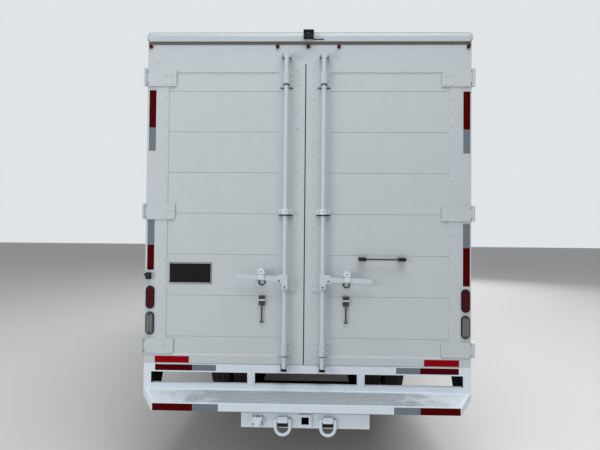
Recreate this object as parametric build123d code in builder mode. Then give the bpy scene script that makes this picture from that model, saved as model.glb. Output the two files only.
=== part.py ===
from build123d import *
import os
from math import atan2, cos, degrees, radians, sin

# A box truck: a low cab over the front axle, and a van body with two plank rear doors.
# Millimetres. X points to the truck's right, Y forwards, Z up, and the ground is at Z 0.
# The origin lies in the middle of the length and width, on the ground.

# Lengths along the truck
body_length = 5486
step_depth = 290
step_top = 697
step_beam = 36
cab_gap = 104
cab_length = 1660
bumper_depth = 65
bumper_gap = 5
rear_overhang = 2200
wheelbase = 4020
overall_length = step_depth + body_length + cab_gap + cab_length + bumper_gap + bumper_depth

# Stations along the truck
post_y = -overall_length / 2 + step_depth
body_front_y = post_y + body_length
cab_back_y = body_front_y + cab_gap
cab_front_y = cab_back_y + cab_length
rear_axle_y = post_y + rear_overhang
front_axle_y = rear_axle_y + wheelbase

# Clearances
running = 0.5
seat_gap = 0.3
door_gap = 6
meeting_gap = 8

# Van body
body_width = 2438
body_half = body_width / 2
floor_top = 882
floor_thick = 30
wall_thick = 30
skin_thick = 4
roof_line = 3298
roof_rise = 82
roof_overhang = 8
roof_radius = 35
sill_height = 63
header_height = 152
post_width = 77
post_depth = 40
stop_width = 24
stop_depth = 60

# Wheels and tyres
tyre_radius = 390
tyre_width = 226
tread_width = 196
rim_radius = 222
rim_width = 186
rim_wall = 8
wheel_offset = 128
front_track_half = 810
kingpin_half = 690
dual_centre_half = 881
spindle_radius = 26
rear_spindle_radius = 42

# Ladder frame
frame_half = 432
rail_height = 178
rail_flange = 60
rail_wall = 7
liner_height = 20
sill_beam_height = 76
rail_top = floor_top - floor_thick - sill_beam_height - liner_height
rail_bottom = rail_top - rail_height
rail_middle = (rail_top + rail_bottom) / 2

# Rear doors: a frame of stiles and rails round a plank panel that is set back
door_thick = 38
door_proud = 3
door_bottom_gap = 3
meeting_x = -19
outer_stile = 81
meeting_stile_past_rod = 50
bottom_rail = 72
top_rail = 64
panel_set_back = 4
plank_height = 308
first_plank = 204
plank_groove = 3
plank_groove_half = 2
rail_bevel = 11
hinge_out = 14
hinge_back = 12
hinge_pin_radius = 6
hinge_barrel_radius = 10
strap_length = 245
strap_thick = 6
strap_barrel = 68
strap_neck = 7
hinge_rows = (1013, 2021, 3037)
strap_heights = (110, 116, 134)

# Lock rods and their keepers, each keeper as its low end, height and half width
rod_radius = 16.5
rod_stand = 42
rod_bottom = 868
rod_top = 3218
rod_places = (("left", -1, -162), ("right", 1, 118))
keepers = ((842, 38, 25), (3170, 48, 31))
keeper_wall = 7
keeper_base = 6
keeper_past_rod = 24
cam_half_thick = 8
cam_gap = 5

sides = (("left", -1), ("right", 1))
os.makedirs("parts", exist_ok=True)


def block(x, y, z, mode=Mode.ADD):
    """A box between a low and a high value on each axis, in the part being built."""
    middle = ((x[0] + x[1]) / 2, (y[0] + y[1]) / 2, (z[0] + z[1]) / 2)
    with Locations(middle):
        Box(abs(x[1] - x[0]), abs(y[1] - y[0]), abs(z[1] - z[0]), mode=mode)


def bar(start, end, radius, mode=Mode.ADD):
    """A round bar from one point to another, in the part being built."""
    line = Vector(*end) - Vector(*start)
    middle = (Vector(*end) + Vector(*start)) * 0.5
    with Locations(Plane(origin=middle, z_dir=line)):
        Cylinder(radius, line.length, mode=mode)


# Ladder frame: two channel rails and the members between them
rail_rear_y = post_y + 46
rail_front_y = cab_front_y - 95
tilt_y = cab_front_y - 60
tilt_z = 660
tilt_pin_radius = 12
tilt_lug_radius = 25
tilt_lug_back = 60
cab_lug_thick = 15
cab_lug_gap = 8

for side, sign in sides:
    with BuildPart() as rail:
        with BuildSketch(Plane.XZ.offset(-rail_front_y)):
            with Locations((sign * (frame_half - rail_flange / 2), rail_middle)):
                Rectangle(rail_flange, rail_height)
            with Locations((sign * (frame_half - rail_flange / 2 - rail_wall), rail_middle)):
                Rectangle(rail_flange, rail_height - 2 * rail_wall, mode=Mode.SUBTRACT)
        extrude(amount=rail_front_y - rail_rear_y)
        lug_x = (sign * (frame_half - 2 * rail_wall), sign * frame_half)
        block(lug_x, (rail_front_y - tilt_lug_back, tilt_y),
              (tilt_z - tilt_lug_radius, tilt_z + tilt_lug_radius))
        bar((lug_x[0], tilt_y, tilt_z), (lug_x[1], tilt_y, tilt_z), tilt_lug_radius)
        pin_end = sign * (frame_half + cab_lug_gap + cab_lug_thick + 5)
        bar((lug_x[0], tilt_y, tilt_z), (pin_end, tilt_y, tilt_z), tilt_pin_radius)
    rail.part.label = f"frame_rail_{side}"
    export_step(rail.part, f"parts/frame_rail_{side}.step")

member_height = 120
member_wall = 6
member_reach = 30
member_half = frame_half - rail_wall
member_places = (
    post_y + 90,
    rear_axle_y - 640,
    rear_axle_y + 640,
    body_front_y - 1500,
    body_front_y - 420,
    rail_front_y - 60,
)

with BuildPart() as crossmembers:
    for place in member_places:
        block((-member_half, member_half), (place - member_reach, place + member_reach),
              (rail_middle - member_height / 2, rail_middle + member_height / 2))
        block((-member_half, member_half), (place - member_reach + member_wall, place + member_reach + 1),
              (rail_middle - member_height / 2 + member_wall,
               rail_middle + member_height / 2 - member_wall),
              mode=Mode.SUBTRACT)
crossmembers.part.label = "crossmembers"
export_step(crossmembers.part, "parts/crossmembers.step")

# Axles and springs
front_beam_z = 320
front_beam_height = 90
kingpin_boss_radius = 28
kingpin_boss_height = 74
kingpin_radius = 14
beam_end_rise = 28
beam_end_drop = 36
beam_depth = 60
beam_web_in = (20, 40)
beam_web_half = (20, 30)

with BuildPart() as front_axle:
    neck_end = kingpin_half - 110
    neck_start = kingpin_half - 190
    with BuildSketch(Plane.XZ.offset(-front_axle_y - beam_depth / 2)):
        with BuildLine():
            Polyline(
                (-kingpin_half, tyre_radius + beam_end_rise), (-kingpin_half, tyre_radius - beam_end_drop),
                (-neck_end, tyre_radius - beam_end_drop),
                (-neck_start, front_beam_z - front_beam_height / 2),
                (neck_start, front_beam_z - front_beam_height / 2),
                (neck_end, tyre_radius - beam_end_drop), (kingpin_half, tyre_radius - beam_end_drop),
                (kingpin_half, tyre_radius + beam_end_rise),
                (neck_end, tyre_radius + beam_end_rise), (neck_start, front_beam_z + front_beam_height / 2),
                (-neck_start, front_beam_z + front_beam_height / 2),
                (-neck_end, tyre_radius + beam_end_rise),
                close=True)
        make_face()
    extrude(amount=beam_depth)
    for sign in (-1, 1):
        with Locations((sign * kingpin_half, front_axle_y, tyre_radius)):
            Cylinder(kingpin_boss_radius + 6, 2 * kingpin_boss_height, mode=Mode.SUBTRACT)
            Cylinder(kingpin_boss_radius, kingpin_boss_height)
            Cylinder(kingpin_radius + running, kingpin_boss_height, mode=Mode.SUBTRACT)
        block((sign * (kingpin_half - beam_web_in[1]), sign * (kingpin_half - beam_web_in[0])),
              (front_axle_y - beam_web_half[0], front_axle_y + beam_web_half[0]),
              (tyre_radius - beam_web_half[1], tyre_radius + beam_web_half[1]))
front_axle.part.label = "front_axle"
export_step(front_axle.part, "parts/front_axle.step")

axle_tube_radius = 56
axle_bowl_radius = 165
axle_nose = 210
axle_tube_half = 600
bowl_nose_radius = 70
bowl_shoulder = 120
bowl_front = 60
bowl_back = 50
bowl_rear_radius = 90
bowl_rear = 120
with BuildPart() as rear_axle:
    bar((-axle_tube_half, rear_axle_y, tyre_radius), (axle_tube_half, rear_axle_y, tyre_radius),
        axle_tube_radius)
    spindle_end = dual_centre_half + 190
    bar((-spindle_end, rear_axle_y, tyre_radius), (spindle_end, rear_axle_y, tyre_radius),
        rear_spindle_radius)
    with BuildSketch(Plane.XY.offset(tyre_radius)):
        with BuildLine():
            Polyline((0, rear_axle_y + axle_nose), (bowl_nose_radius, rear_axle_y + axle_nose),
                     (bowl_nose_radius, rear_axle_y + bowl_shoulder),
                     (axle_bowl_radius, rear_axle_y + bowl_front),
                     (axle_bowl_radius, rear_axle_y - bowl_back),
                     (bowl_rear_radius, rear_axle_y - bowl_rear), (0, rear_axle_y - bowl_rear), close=True)
        make_face()
    revolve(axis=Axis((0, rear_axle_y, tyre_radius), (0, 1, 0)))
rear_axle.part.label = "rear_axle"
export_step(rear_axle.part, "parts/rear_axle.step")

leaf_width = 60
leaf_thick = 11
leaf_count = 5
leaf_step = 0.17
eye_radius = 20
eye_back = 4
hanger_half = (30, 22)
clamp_half = (34, 50)
clamp_rise = 12
spring_x = frame_half - rail_flange / 2
spring_sets = (
    (front_axle_y, front_beam_z + front_beam_height / 2, 600),
    (rear_axle_y, tyre_radius + axle_tube_radius, 640),
)

with BuildPart() as leaf_springs:
    for axle_y, seat_z, half_span in spring_sets:
        eye_z = rail_bottom - 32
        sag = eye_z - seat_z
        arc_radius = (half_span ** 2 + sag ** 2) / (2 * sag)
        for sign in (-1, 1):
            with BuildSketch(Plane.YZ.offset(sign * spring_x - leaf_width / 2)):
                for leaf in range(leaf_count):
                    inner = arc_radius - leaf * leaf_thick
                    reach = degrees(atan2(half_span, arc_radius - sag)) * (1 - leaf_step * leaf)
                    low = -90 - reach
                    with BuildLine():
                        outer_arc = CenterArc((axle_y, seat_z + arc_radius), inner, low, 2 * reach)
                        inner_arc = CenterArc((axle_y, seat_z + arc_radius), inner - leaf_thick, low,
                                              2 * reach)
                        Line(outer_arc @ 0, inner_arc @ 0)
                        Line(outer_arc @ 1, inner_arc @ 1)
                    make_face()
            extrude(amount=leaf_width)
            for end in (-1, 1):
                eye_y = axle_y + end * (half_span - eye_back)
                bar((sign * spring_x - leaf_width / 2, eye_y, eye_z),
                    (sign * spring_x + leaf_width / 2, eye_y, eye_z), eye_radius)
                block((sign * spring_x - hanger_half[0], sign * spring_x + hanger_half[0]),
                      (eye_y - hanger_half[1], eye_y + hanger_half[1]), (eye_z, rail_bottom))
            block((sign * spring_x - clamp_half[0], sign * spring_x + clamp_half[0]),
                  (axle_y - clamp_half[1], axle_y + clamp_half[1]),
                  (seat_z, seat_z + leaf_count * leaf_thick + clamp_rise))
leaf_springs.part.label = "leaf_springs"
export_step(leaf_springs.part, "parts/leaf_springs.step")

# Engine with its rocker cover, bell housing, gearbox, fan and radiator
engine_rear_y = front_axle_y - 120
engine_front_y = front_axle_y + 560
engine_low = front_beam_z + 75
engine_high = 790
engine_half = 230
sump_half = 130
rocker_half = 95
rocker_rise = 45
rocker_short = 80
rocker_corner = 30
rocker_taper = 15
sump_rise = 90
block_rise = 130
head_drop = 70
head_bevel = 60
gearbox_z = 560
bell_radius = 165
bell_length = 190
gearbox_radius = 95
gearbox_rear_y = front_axle_y - 560
radiator_y = engine_front_y + 30
radiator_thick = 50
radiator_half = 300
radiator_z = (480, 840)
radiator_tank = 55
radiator_tank_proud = 8
fan_radius = 185
fan_hub = 60
fan_blades = 6
fan_width = 70
fan_blade_thick = 8
fan_z = gearbox_z + 60
# Each pair of feet is its inner end, its rear end and its length
engine_feet = (
    (engine_half, front_axle_y + 300, 60),
    (gearbox_radius - 50, front_axle_y - 420, 50),
)
foot_z = (620, 650)

with BuildPart() as engine:
    with BuildSketch(Plane.XZ.offset(-engine_front_y)):
        with BuildLine():
            Polyline((-sump_half, engine_low), (-sump_half, engine_low + sump_rise),
                     (-engine_half, engine_low + block_rise),
                     (-engine_half, engine_high - head_drop), (-engine_half + head_bevel, engine_high),
                     (engine_half - head_bevel, engine_high),
                     (engine_half, engine_high - head_drop), (engine_half, engine_low + block_rise),
                     (sump_half, engine_low + sump_rise),
                     (sump_half, engine_low), close=True)
        make_face()
    extrude(amount=engine_front_y - engine_rear_y)
    with BuildSketch(Plane.XY.offset(engine_high)):
        with Locations((0, (engine_front_y + engine_rear_y) / 2)):
            RectangleRounded(2 * rocker_half, engine_front_y - engine_rear_y - rocker_short, rocker_corner)
    extrude(amount=rocker_rise, taper=rocker_taper)
    with BuildSketch(Plane.XZ.offset(-engine_rear_y)):
        with Locations((0, gearbox_z)):
            Circle(bell_radius)
    with BuildSketch(Plane.XZ.offset(-engine_rear_y + bell_length)):
        with Locations((0, gearbox_z)):
            Circle(gearbox_radius)
    loft()
    bar((0, engine_rear_y - bell_length, gearbox_z), (0, gearbox_rear_y, gearbox_z), gearbox_radius)
    block((-radiator_half, radiator_half), (radiator_y, radiator_y + radiator_thick), radiator_z)
    for tank_low in (radiator_z[0], radiator_z[1] - radiator_tank):
        block((-radiator_half, radiator_half), (radiator_y,
                                                radiator_y + radiator_thick + radiator_tank_proud),
              (tank_low, tank_low + radiator_tank))
    bar((0, engine_front_y, fan_z), (0, radiator_y, fan_z), fan_hub)
    fan_place = Plane(origin=(0, (engine_front_y + radiator_y) / 2, fan_z), z_dir=(0, 1, 0))
    with Locations(fan_place):
        with PolarLocations(fan_radius / 2, fan_blades):
            Box(fan_radius, fan_width, fan_blade_thick)
    for foot_start, foot_y, foot_length in engine_feet:
        for sign in (-1, 1):
            block((sign * foot_start, sign * (frame_half - rail_wall)), (foot_y, foot_y + foot_length),
                  foot_z)
engine.part.label = "engine"
export_step(engine.part, "parts/engine.step")

shaft_start = (0, gearbox_rear_y, gearbox_z)
shaft_end = (0, rear_axle_y + axle_nose, tyre_radius)
shaft_radius = 38
bracket_z = (rail_bottom + 10, rail_bottom + 60)
with BuildPart() as drive_shaft:
    bar(shaft_start, shaft_end, shaft_radius)
    add(engine.part, mode=Mode.SUBTRACT)
    add(rear_axle.part, mode=Mode.SUBTRACT)
drive_shaft.part.label = "drive_shaft"
export_step(drive_shaft.part, "parts/drive_shaft.step")

tank_x = (frame_half + 40, 1010)
tank_y = (rear_axle_y + 900, rear_axle_y + 1900)
tank_z = (400, 700)
tank_corner = 70
tank_neck_radius = 45
tank_neck_foot = (90, 40)
tank_neck_mouth = (30, 25)
tank_strap_in = 180
tank_strap_half = 25
tank_strap_proud = 6
tank_strap_deep = 40
tank_strap_short = 60
tank_bracket_half = 30
with BuildPart() as fuel_tank:
    block(tank_x, tank_y, tank_z)
    fillet(fuel_tank.edges().filter_by(Axis.Y), tank_corner)
    neck_y = tank_y[1] - 90
    bar((tank_x[1] - tank_neck_foot[0], neck_y, tank_z[1] - tank_neck_foot[1]),
        (tank_x[1] - tank_neck_mouth[0], neck_y, tank_z[1] + tank_neck_mouth[1]), tank_neck_radius)
    for strap_y in (tank_y[0] + tank_strap_in, tank_y[1] - tank_strap_in):
        block((tank_x[0] - tank_strap_proud, tank_x[0] + tank_strap_deep),
              (strap_y - tank_strap_half, strap_y + tank_strap_half),
              (tank_z[0] + tank_strap_short, tank_z[1] - tank_strap_short))
        block((frame_half, tank_x[0]), (strap_y - tank_bracket_half, strap_y + tank_bracket_half),
              bracket_z)
fuel_tank.part.label = "fuel_tank"
export_step(fuel_tank.part, "parts/fuel_tank.step")

battery_x = (-frame_half - 420, -frame_half - 30)
battery_y = (rear_axle_y + 2080, rear_axle_y + 2640)
battery_z = (430, 690)
battery_lid = 60
battery_lid_proud = 6
battery_corner = 20
battery_bracket_in = 80
battery_bracket_half = 20
battery_middle = (sum(battery_x) / 2, sum(battery_y) / 2)
with BuildPart() as battery_box:
    for proud, box_low, box_high in ((0, battery_z[0], battery_z[1]),
                                     (battery_lid_proud, battery_z[1] - battery_lid,
                                      battery_z[1] + battery_lid_proud)):
        with BuildSketch(Plane.XY.offset(box_low)):
            with Locations(battery_middle):
                RectangleRounded(battery_x[1] - battery_x[0] + 2 * proud,
                                 battery_y[1] - battery_y[0] + 2 * proud,
                                 battery_corner + proud)
        extrude(amount=box_high - box_low)
    for bracket_y in (battery_y[0] + battery_bracket_in, battery_y[1] - battery_bracket_in):
        block((battery_x[1], -frame_half),
              (bracket_y - battery_bracket_half, bracket_y + battery_bracket_half), bracket_z)
battery_box.part.label = "battery_box"
export_step(battery_box.part, "parts/battery_box.step")

muffler_x = -frame_half - 190
muffler_z = 560
muffler_y = (rear_axle_y + 1000, rear_axle_y + 1800)
muffler_radius = 110
muffler_end = 25
front_pipe_radius = 35
front_pipe_inside = 10
front_pipe_reach = 160
tail_pipe_radius = 33
tail_pipe_start = (muffler_x + 20, muffler_y[0] - 120, muffler_z)
tail_pipe_end = (muffler_x - 420, muffler_y[0] - 200, muffler_z - 90)
muffler_hanger_in = 120
muffler_hanger_half = 20
muffler_hanger_reach = 100
muffler_hanger_z = (rail_bottom + 10, rail_bottom + 40)
with BuildPart() as exhaust:
    bar((muffler_x, muffler_y[0], muffler_z), (muffler_x, muffler_y[1], muffler_z), muffler_radius)
    fillet(exhaust.edges().filter_by(GeomType.CIRCLE), muffler_end)
    bar((muffler_x, muffler_y[0] + front_pipe_inside, muffler_z),
        (muffler_x, muffler_y[0] - front_pipe_reach, muffler_z), front_pipe_radius)
    bar(tail_pipe_start, tail_pipe_end, tail_pipe_radius)
    for hanger_y in (muffler_y[0] + muffler_hanger_in, muffler_y[1] - muffler_hanger_in):
        block((-frame_half - muffler_hanger_reach, -frame_half),
              (hanger_y - muffler_hanger_half, hanger_y + muffler_hanger_half), muffler_hanger_z)
exhaust.part.label = "exhaust"
export_step(exhaust.part, "parts/exhaust.step")

# Tyre and rim about the X axis, the disc on the +X side
tread_round = 10
tread_shoulder = 12
bead_height = 16
with BuildPart() as tyre_ring:
    with BuildSketch(Plane.XY):
        with BuildLine():
            half = tyre_width / 2
            tread = tread_width / 2
            bead = rim_width / 2 - rim_wall - 1
            Polyline((-tread, tyre_radius - tread_round), (-tread + tread_shoulder, tyre_radius),
                     (tread - tread_shoulder, tyre_radius),
                     (tread, tyre_radius - tread_round))
            ThreePointArc((tread, tyre_radius - tread_round), (half, (tyre_radius + rim_radius) / 2),
                          (bead, rim_radius + bead_height))
            Polyline((bead, rim_radius + bead_height), (bead, rim_radius + running),
                     (-bead, rim_radius + running),
                     (-bead, rim_radius + bead_height))
            ThreePointArc((-bead, rim_radius + bead_height), (-half, (tyre_radius + rim_radius) / 2),
                          (-tread, tyre_radius - tread_round))
        make_face()
    revolve(axis=Axis.X)

disc_radius = 112
hand_hole_radius = 18
hand_hole_count = 6
hand_hole_in = 14
flange_rise = 14
well_depth = 26
bead_seat_drop = 3
well_floor_half = 38
well_side_half = 46
well_back_half = 44
well_back_side_half = 52
disc_thick = 12
disc_edge = (40, 24)
disc_edge_drop = 30
disc_bore = 50
disc_dish = 4
with BuildPart() as rim_ring:
    rim_half = rim_width / 2
    with BuildSketch(Plane.XY):
        with BuildLine():
            Polyline(
                (-rim_half, rim_radius + flange_rise), (-rim_half + rim_wall, rim_radius + flange_rise),
                (-rim_half + rim_wall, rim_radius),
                (-well_side_half, rim_radius - bead_seat_drop), (-well_floor_half, rim_radius - well_depth),
                (well_floor_half, rim_radius - well_depth), (well_side_half, rim_radius - bead_seat_drop),
                (rim_half - rim_wall, rim_radius), (rim_half - rim_wall, rim_radius + flange_rise),
                (rim_half, rim_radius + flange_rise),
                (rim_half, rim_radius - rim_wall),
                (well_back_side_half, rim_radius - rim_wall - bead_seat_drop),
                (well_back_half, rim_radius - well_depth - rim_wall),
                (-well_back_half, rim_radius - well_depth - rim_wall),
                (-well_back_side_half, rim_radius - rim_wall - bead_seat_drop),
                (-rim_half, rim_radius - rim_wall),
                close=True)
        make_face()
        with BuildLine():
            Polyline(
                (disc_edge[0], rim_radius - disc_edge_drop), (wheel_offset, disc_radius),
                (wheel_offset, disc_bore), (wheel_offset - disc_thick, disc_bore),
                (wheel_offset - disc_thick, disc_radius - disc_dish),
                (disc_edge[1], rim_radius - disc_edge_drop), close=True)
        make_face()
    revolve(axis=Axis.X)
    with Locations(Plane.YZ):
        with PolarLocations((rim_radius + disc_radius) / 2 - hand_hole_in, hand_hole_count):
            Cylinder(hand_hole_radius, 4 * wheel_offset, mode=Mode.SUBTRACT)

hub_radius = 70
drum_radius = 160
drum_back = 52
drum_past_centre = 20
hub_cap_radius = 52
hub_cap_out = 60
spindle_bore_out = 30
rear_drum_back = 70
rear_drum_short = 12
rear_hub_out = 150
for side, sign in sides:
    place = Location((sign * front_track_half, front_axle_y, tyre_radius), (0, 0, 0 if sign > 0 else 180))
    with BuildPart() as front_wheel:
        with Locations(place):
            add(rim_ring.part)
        inner_x = sign * (kingpin_half + drum_back)
        cap_x = sign * (front_track_half + wheel_offset + hub_cap_out)
        face_x = sign * (front_track_half + wheel_offset)
        bar((inner_x, front_axle_y, tyre_radius), (face_x, front_axle_y, tyre_radius), hub_radius)
        bar((face_x, front_axle_y, tyre_radius), (cap_x, front_axle_y, tyre_radius), hub_cap_radius)
        drum_x = sign * (front_track_half + drum_past_centre)
        bar((inner_x, front_axle_y, tyre_radius), (drum_x, front_axle_y, tyre_radius), drum_radius)
        bore_end = sign * (front_track_half + wheel_offset + spindle_bore_out)
        bar((inner_x - sign, front_axle_y, tyre_radius), (bore_end, front_axle_y, tyre_radius),
            spindle_radius + running,
            mode=Mode.SUBTRACT)
    front_wheel.part.label = f"front_wheel_{side}"
    export_step(front_wheel.part, f"parts/front_wheel_{side}.step")

    with BuildPart() as front_tyre:
        with Locations(place):
            add(tyre_ring.part)
    front_tyre.part.label = f"front_tyre_{side}"
    export_step(front_tyre.part, f"parts/front_tyre_{side}.step")

    outer_x = sign * (dual_centre_half + wheel_offset)
    inner_x = sign * (dual_centre_half - wheel_offset)
    outer_place = Location((outer_x, rear_axle_y, tyre_radius), (0, 0, 180 if sign > 0 else 0))
    inner_place = Location((inner_x, rear_axle_y, tyre_radius), (0, 0, 0 if sign > 0 else 180))
    with BuildPart() as rear_wheels:
        with Locations(outer_place, inner_place):
            add(rim_ring.part)
        drum_start = (inner_x - sign * rear_drum_back, rear_axle_y, tyre_radius)
        drum_end = (sign * (dual_centre_half - rear_drum_short), rear_axle_y, tyre_radius)
        bar(drum_start, drum_end, drum_radius)
        hub_end = (sign * (dual_centre_half + rear_hub_out), rear_axle_y, tyre_radius)
        bar(drum_end, hub_end, hub_radius)
        bar((inner_x - sign * (rear_drum_back + 1), rear_axle_y, tyre_radius),
            (sign * (dual_centre_half + rear_hub_out + 1), rear_axle_y, tyre_radius),
            rear_spindle_radius + running, mode=Mode.SUBTRACT)
    rear_wheels.part.label = f"rear_wheels_{side}"
    export_step(rear_wheels.part, f"parts/rear_wheels_{side}.step")

    with BuildPart() as rear_tyres:
        with Locations(outer_place, inner_place):
            add(tyre_ring.part)
    rear_tyres.part.label = f"rear_tyres_{side}"
    export_step(rear_tyres.part, f"parts/rear_tyres_{side}.step")

# Knuckles on their kingpins, with the tie rod behind the axle
arm_reach = 175
arm_half = 16
fork_gap = 2
fork_thick = 26
fork_reach = 45
fork_wall = 12
fork_half = 26
spindle_root = 40
spindle_past_disc = 24
arm_root = 10
arm_drop = 6
arm_boss_radius = 20
rod_pin_radius = 8
rod_drop = 16
for side, sign in sides:
    with BuildPart() as knuckle:
        fork_low = tyre_radius - kingpin_boss_height / 2 - fork_gap
        fork_high = tyre_radius + kingpin_boss_height / 2 + fork_gap
        for z_low, z_high in ((fork_low - fork_thick, fork_low), (fork_high, fork_high + fork_thick)):
            with Locations((sign * kingpin_half, front_axle_y, (z_low + z_high) / 2)):
                Cylinder(kingpin_boss_radius, fork_thick)
            block((sign * kingpin_half, sign * (kingpin_half + fork_reach)),
                  (front_axle_y - fork_half, front_axle_y + fork_half), (z_low, z_high))
        block((sign * (kingpin_half + fork_reach - fork_wall), sign * (kingpin_half + fork_reach)),
              (front_axle_y - fork_half, front_axle_y + fork_half), (fork_low, fork_high))
        with Locations((sign * kingpin_half, front_axle_y, tyre_radius)):
            Cylinder(kingpin_radius, kingpin_boss_height + 2 * fork_gap + 2 * fork_thick)
        bar((sign * (kingpin_half + spindle_root), front_axle_y, tyre_radius),
            (sign * (front_track_half + wheel_offset + spindle_past_disc), front_axle_y, tyre_radius),
            spindle_radius)
        block((sign * (kingpin_half - arm_half), sign * (kingpin_half + arm_half)),
              (front_axle_y - arm_reach, front_axle_y - arm_root),
              (fork_low - fork_thick, fork_low - arm_drop))
        with Locations((sign * kingpin_half, front_axle_y - arm_reach,
                        fork_low - fork_thick / 2 - arm_drop / 2)):
            Cylinder(arm_boss_radius, fork_thick - arm_drop)
            Cylinder(rod_pin_radius + running, fork_thick, mode=Mode.SUBTRACT)
    knuckle.part.label = f"knuckle_{side}"
    export_step(knuckle.part, f"parts/knuckle_{side}.step")

tie_rod_radius = 13
tie_rod_end_radius = 18
tie_rod_end_height = 30
rod_pin_short = 8
with BuildPart() as tie_rod:
    joint_x = kingpin_half
    joint_y = front_axle_y - arm_reach
    arm_low = tyre_radius - kingpin_boss_height / 2 - fork_gap - fork_thick
    rod_z = arm_low - rod_drop
    bar((-joint_x, joint_y, rod_z), (joint_x, joint_y, rod_z), tie_rod_radius)
    for sign in (-1, 1):
        with Locations((sign * joint_x, joint_y, rod_z)):
            Cylinder(tie_rod_end_radius, tie_rod_end_height)
        bar((sign * joint_x, joint_y, rod_z), (sign * joint_x, joint_y,
                                               arm_low + fork_thick - rod_pin_short),
            rod_pin_radius)
tie_rod.part.label = "tie_rod"
export_step(tie_rod.part, "parts/tie_rod.step")

# Van body floor and the sills under it
with BuildPart() as box_floor:
    block((-body_half + wall_thick, body_half - wall_thick),
          (post_y + post_depth + stop_depth, body_front_y - wall_thick),
          (floor_top - floor_thick, floor_top))
box_floor.part.label = "box_floor"
export_step(box_floor.part, "parts/box_floor.step")

cross_sill_pitch = 305
cross_sill_flange = 45
cross_sill_web = 5
liner_short = 60
cross_sill_count = int((body_length - 300) / cross_sill_pitch)
first_sill_y = rear_axle_y - cross_sill_pitch * 6.5
cross_sill_places = [first_sill_y + cross_sill_pitch * row for row in range(cross_sill_count)]
sill_beam_low = floor_top - floor_thick - sill_beam_height
sill_beam_high = floor_top - floor_thick

with BuildPart() as cross_sills:
    for sill_y in cross_sill_places:
        block((-body_half + wall_thick, body_half - wall_thick), (sill_y, sill_y + cross_sill_flange),
              (sill_beam_low, sill_beam_high))
        block((-body_half + wall_thick, body_half - wall_thick),
              (sill_y + cross_sill_web, sill_y + cross_sill_flange + 1),
              (sill_beam_low + cross_sill_web, sill_beam_high - cross_sill_web), mode=Mode.SUBTRACT)
    for sign in (-1, 1):
        block((sign * (frame_half - rail_flange), sign * frame_half),
              (post_y + post_depth + stop_depth, body_front_y - liner_short),
              (rail_top, rail_top + liner_height))
cross_sills.part.label = "cross_sills"
export_step(cross_sills.part, "parts/cross_sills.step")

# Side walls: a thin skin on hat posts, with a rail along the bottom and the top
wall_post_pitch = 610
wall_post_width = 60
side_rail_height = 110
first_wall_post = 40
skirt_rise = 20
bulkhead_rail_rise = 80
bulkhead_column_pitch = 460
bulkhead_column_half = 30
wall_low = floor_top - floor_thick - sill_beam_height
wall_start_y = post_y + post_depth + stop_depth
for side, sign in sides:
    with BuildPart() as side_wall:
        block((sign * (body_half - skin_thick), sign * body_half), (wall_start_y, body_front_y),
              (wall_low, roof_line))
        for rail_z in (wall_low, roof_line - side_rail_height):
            block((sign * (body_half - wall_thick), sign * body_half),
                  (wall_start_y, body_front_y - wall_thick),
                  (rail_z, rail_z + side_rail_height))
        block((sign * (body_half - wall_thick), sign * body_half),
              (wall_start_y, body_front_y - wall_thick),
              (floor_top - floor_thick, floor_top + skirt_rise))
        post_rows = int((body_length - 200) / wall_post_pitch)
        for row in range(post_rows):
            row_y = wall_start_y + first_wall_post + row * wall_post_pitch
            block((sign * (body_half - wall_thick), sign * body_half), (row_y, row_y + wall_post_width),
                  (wall_low, roof_line))
    side_wall.part.label = f"side_wall_{side}"
    export_step(side_wall.part, f"parts/side_wall_{side}.step")

with BuildPart() as bulkhead:
    block((-body_half + skin_thick, body_half - skin_thick), (body_front_y - skin_thick, body_front_y),
          (wall_low, roof_line))
    block((-body_half + wall_thick, body_half - wall_thick), (body_front_y - wall_thick, body_front_y),
          (wall_low, floor_top + bulkhead_rail_rise))
    block((-body_half + wall_thick, body_half - wall_thick), (body_front_y - wall_thick, body_front_y),
          (roof_line - side_rail_height, roof_line))
    for column in range(-2, 3):
        column_x = column * bulkhead_column_pitch
        block((column_x - bulkhead_column_half, column_x + bulkhead_column_half),
              (body_front_y - wall_thick, body_front_y),
              (wall_low, roof_line))
bulkhead.part.label = "bulkhead"
export_step(bulkhead.part, "parts/bulkhead.step")

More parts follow.
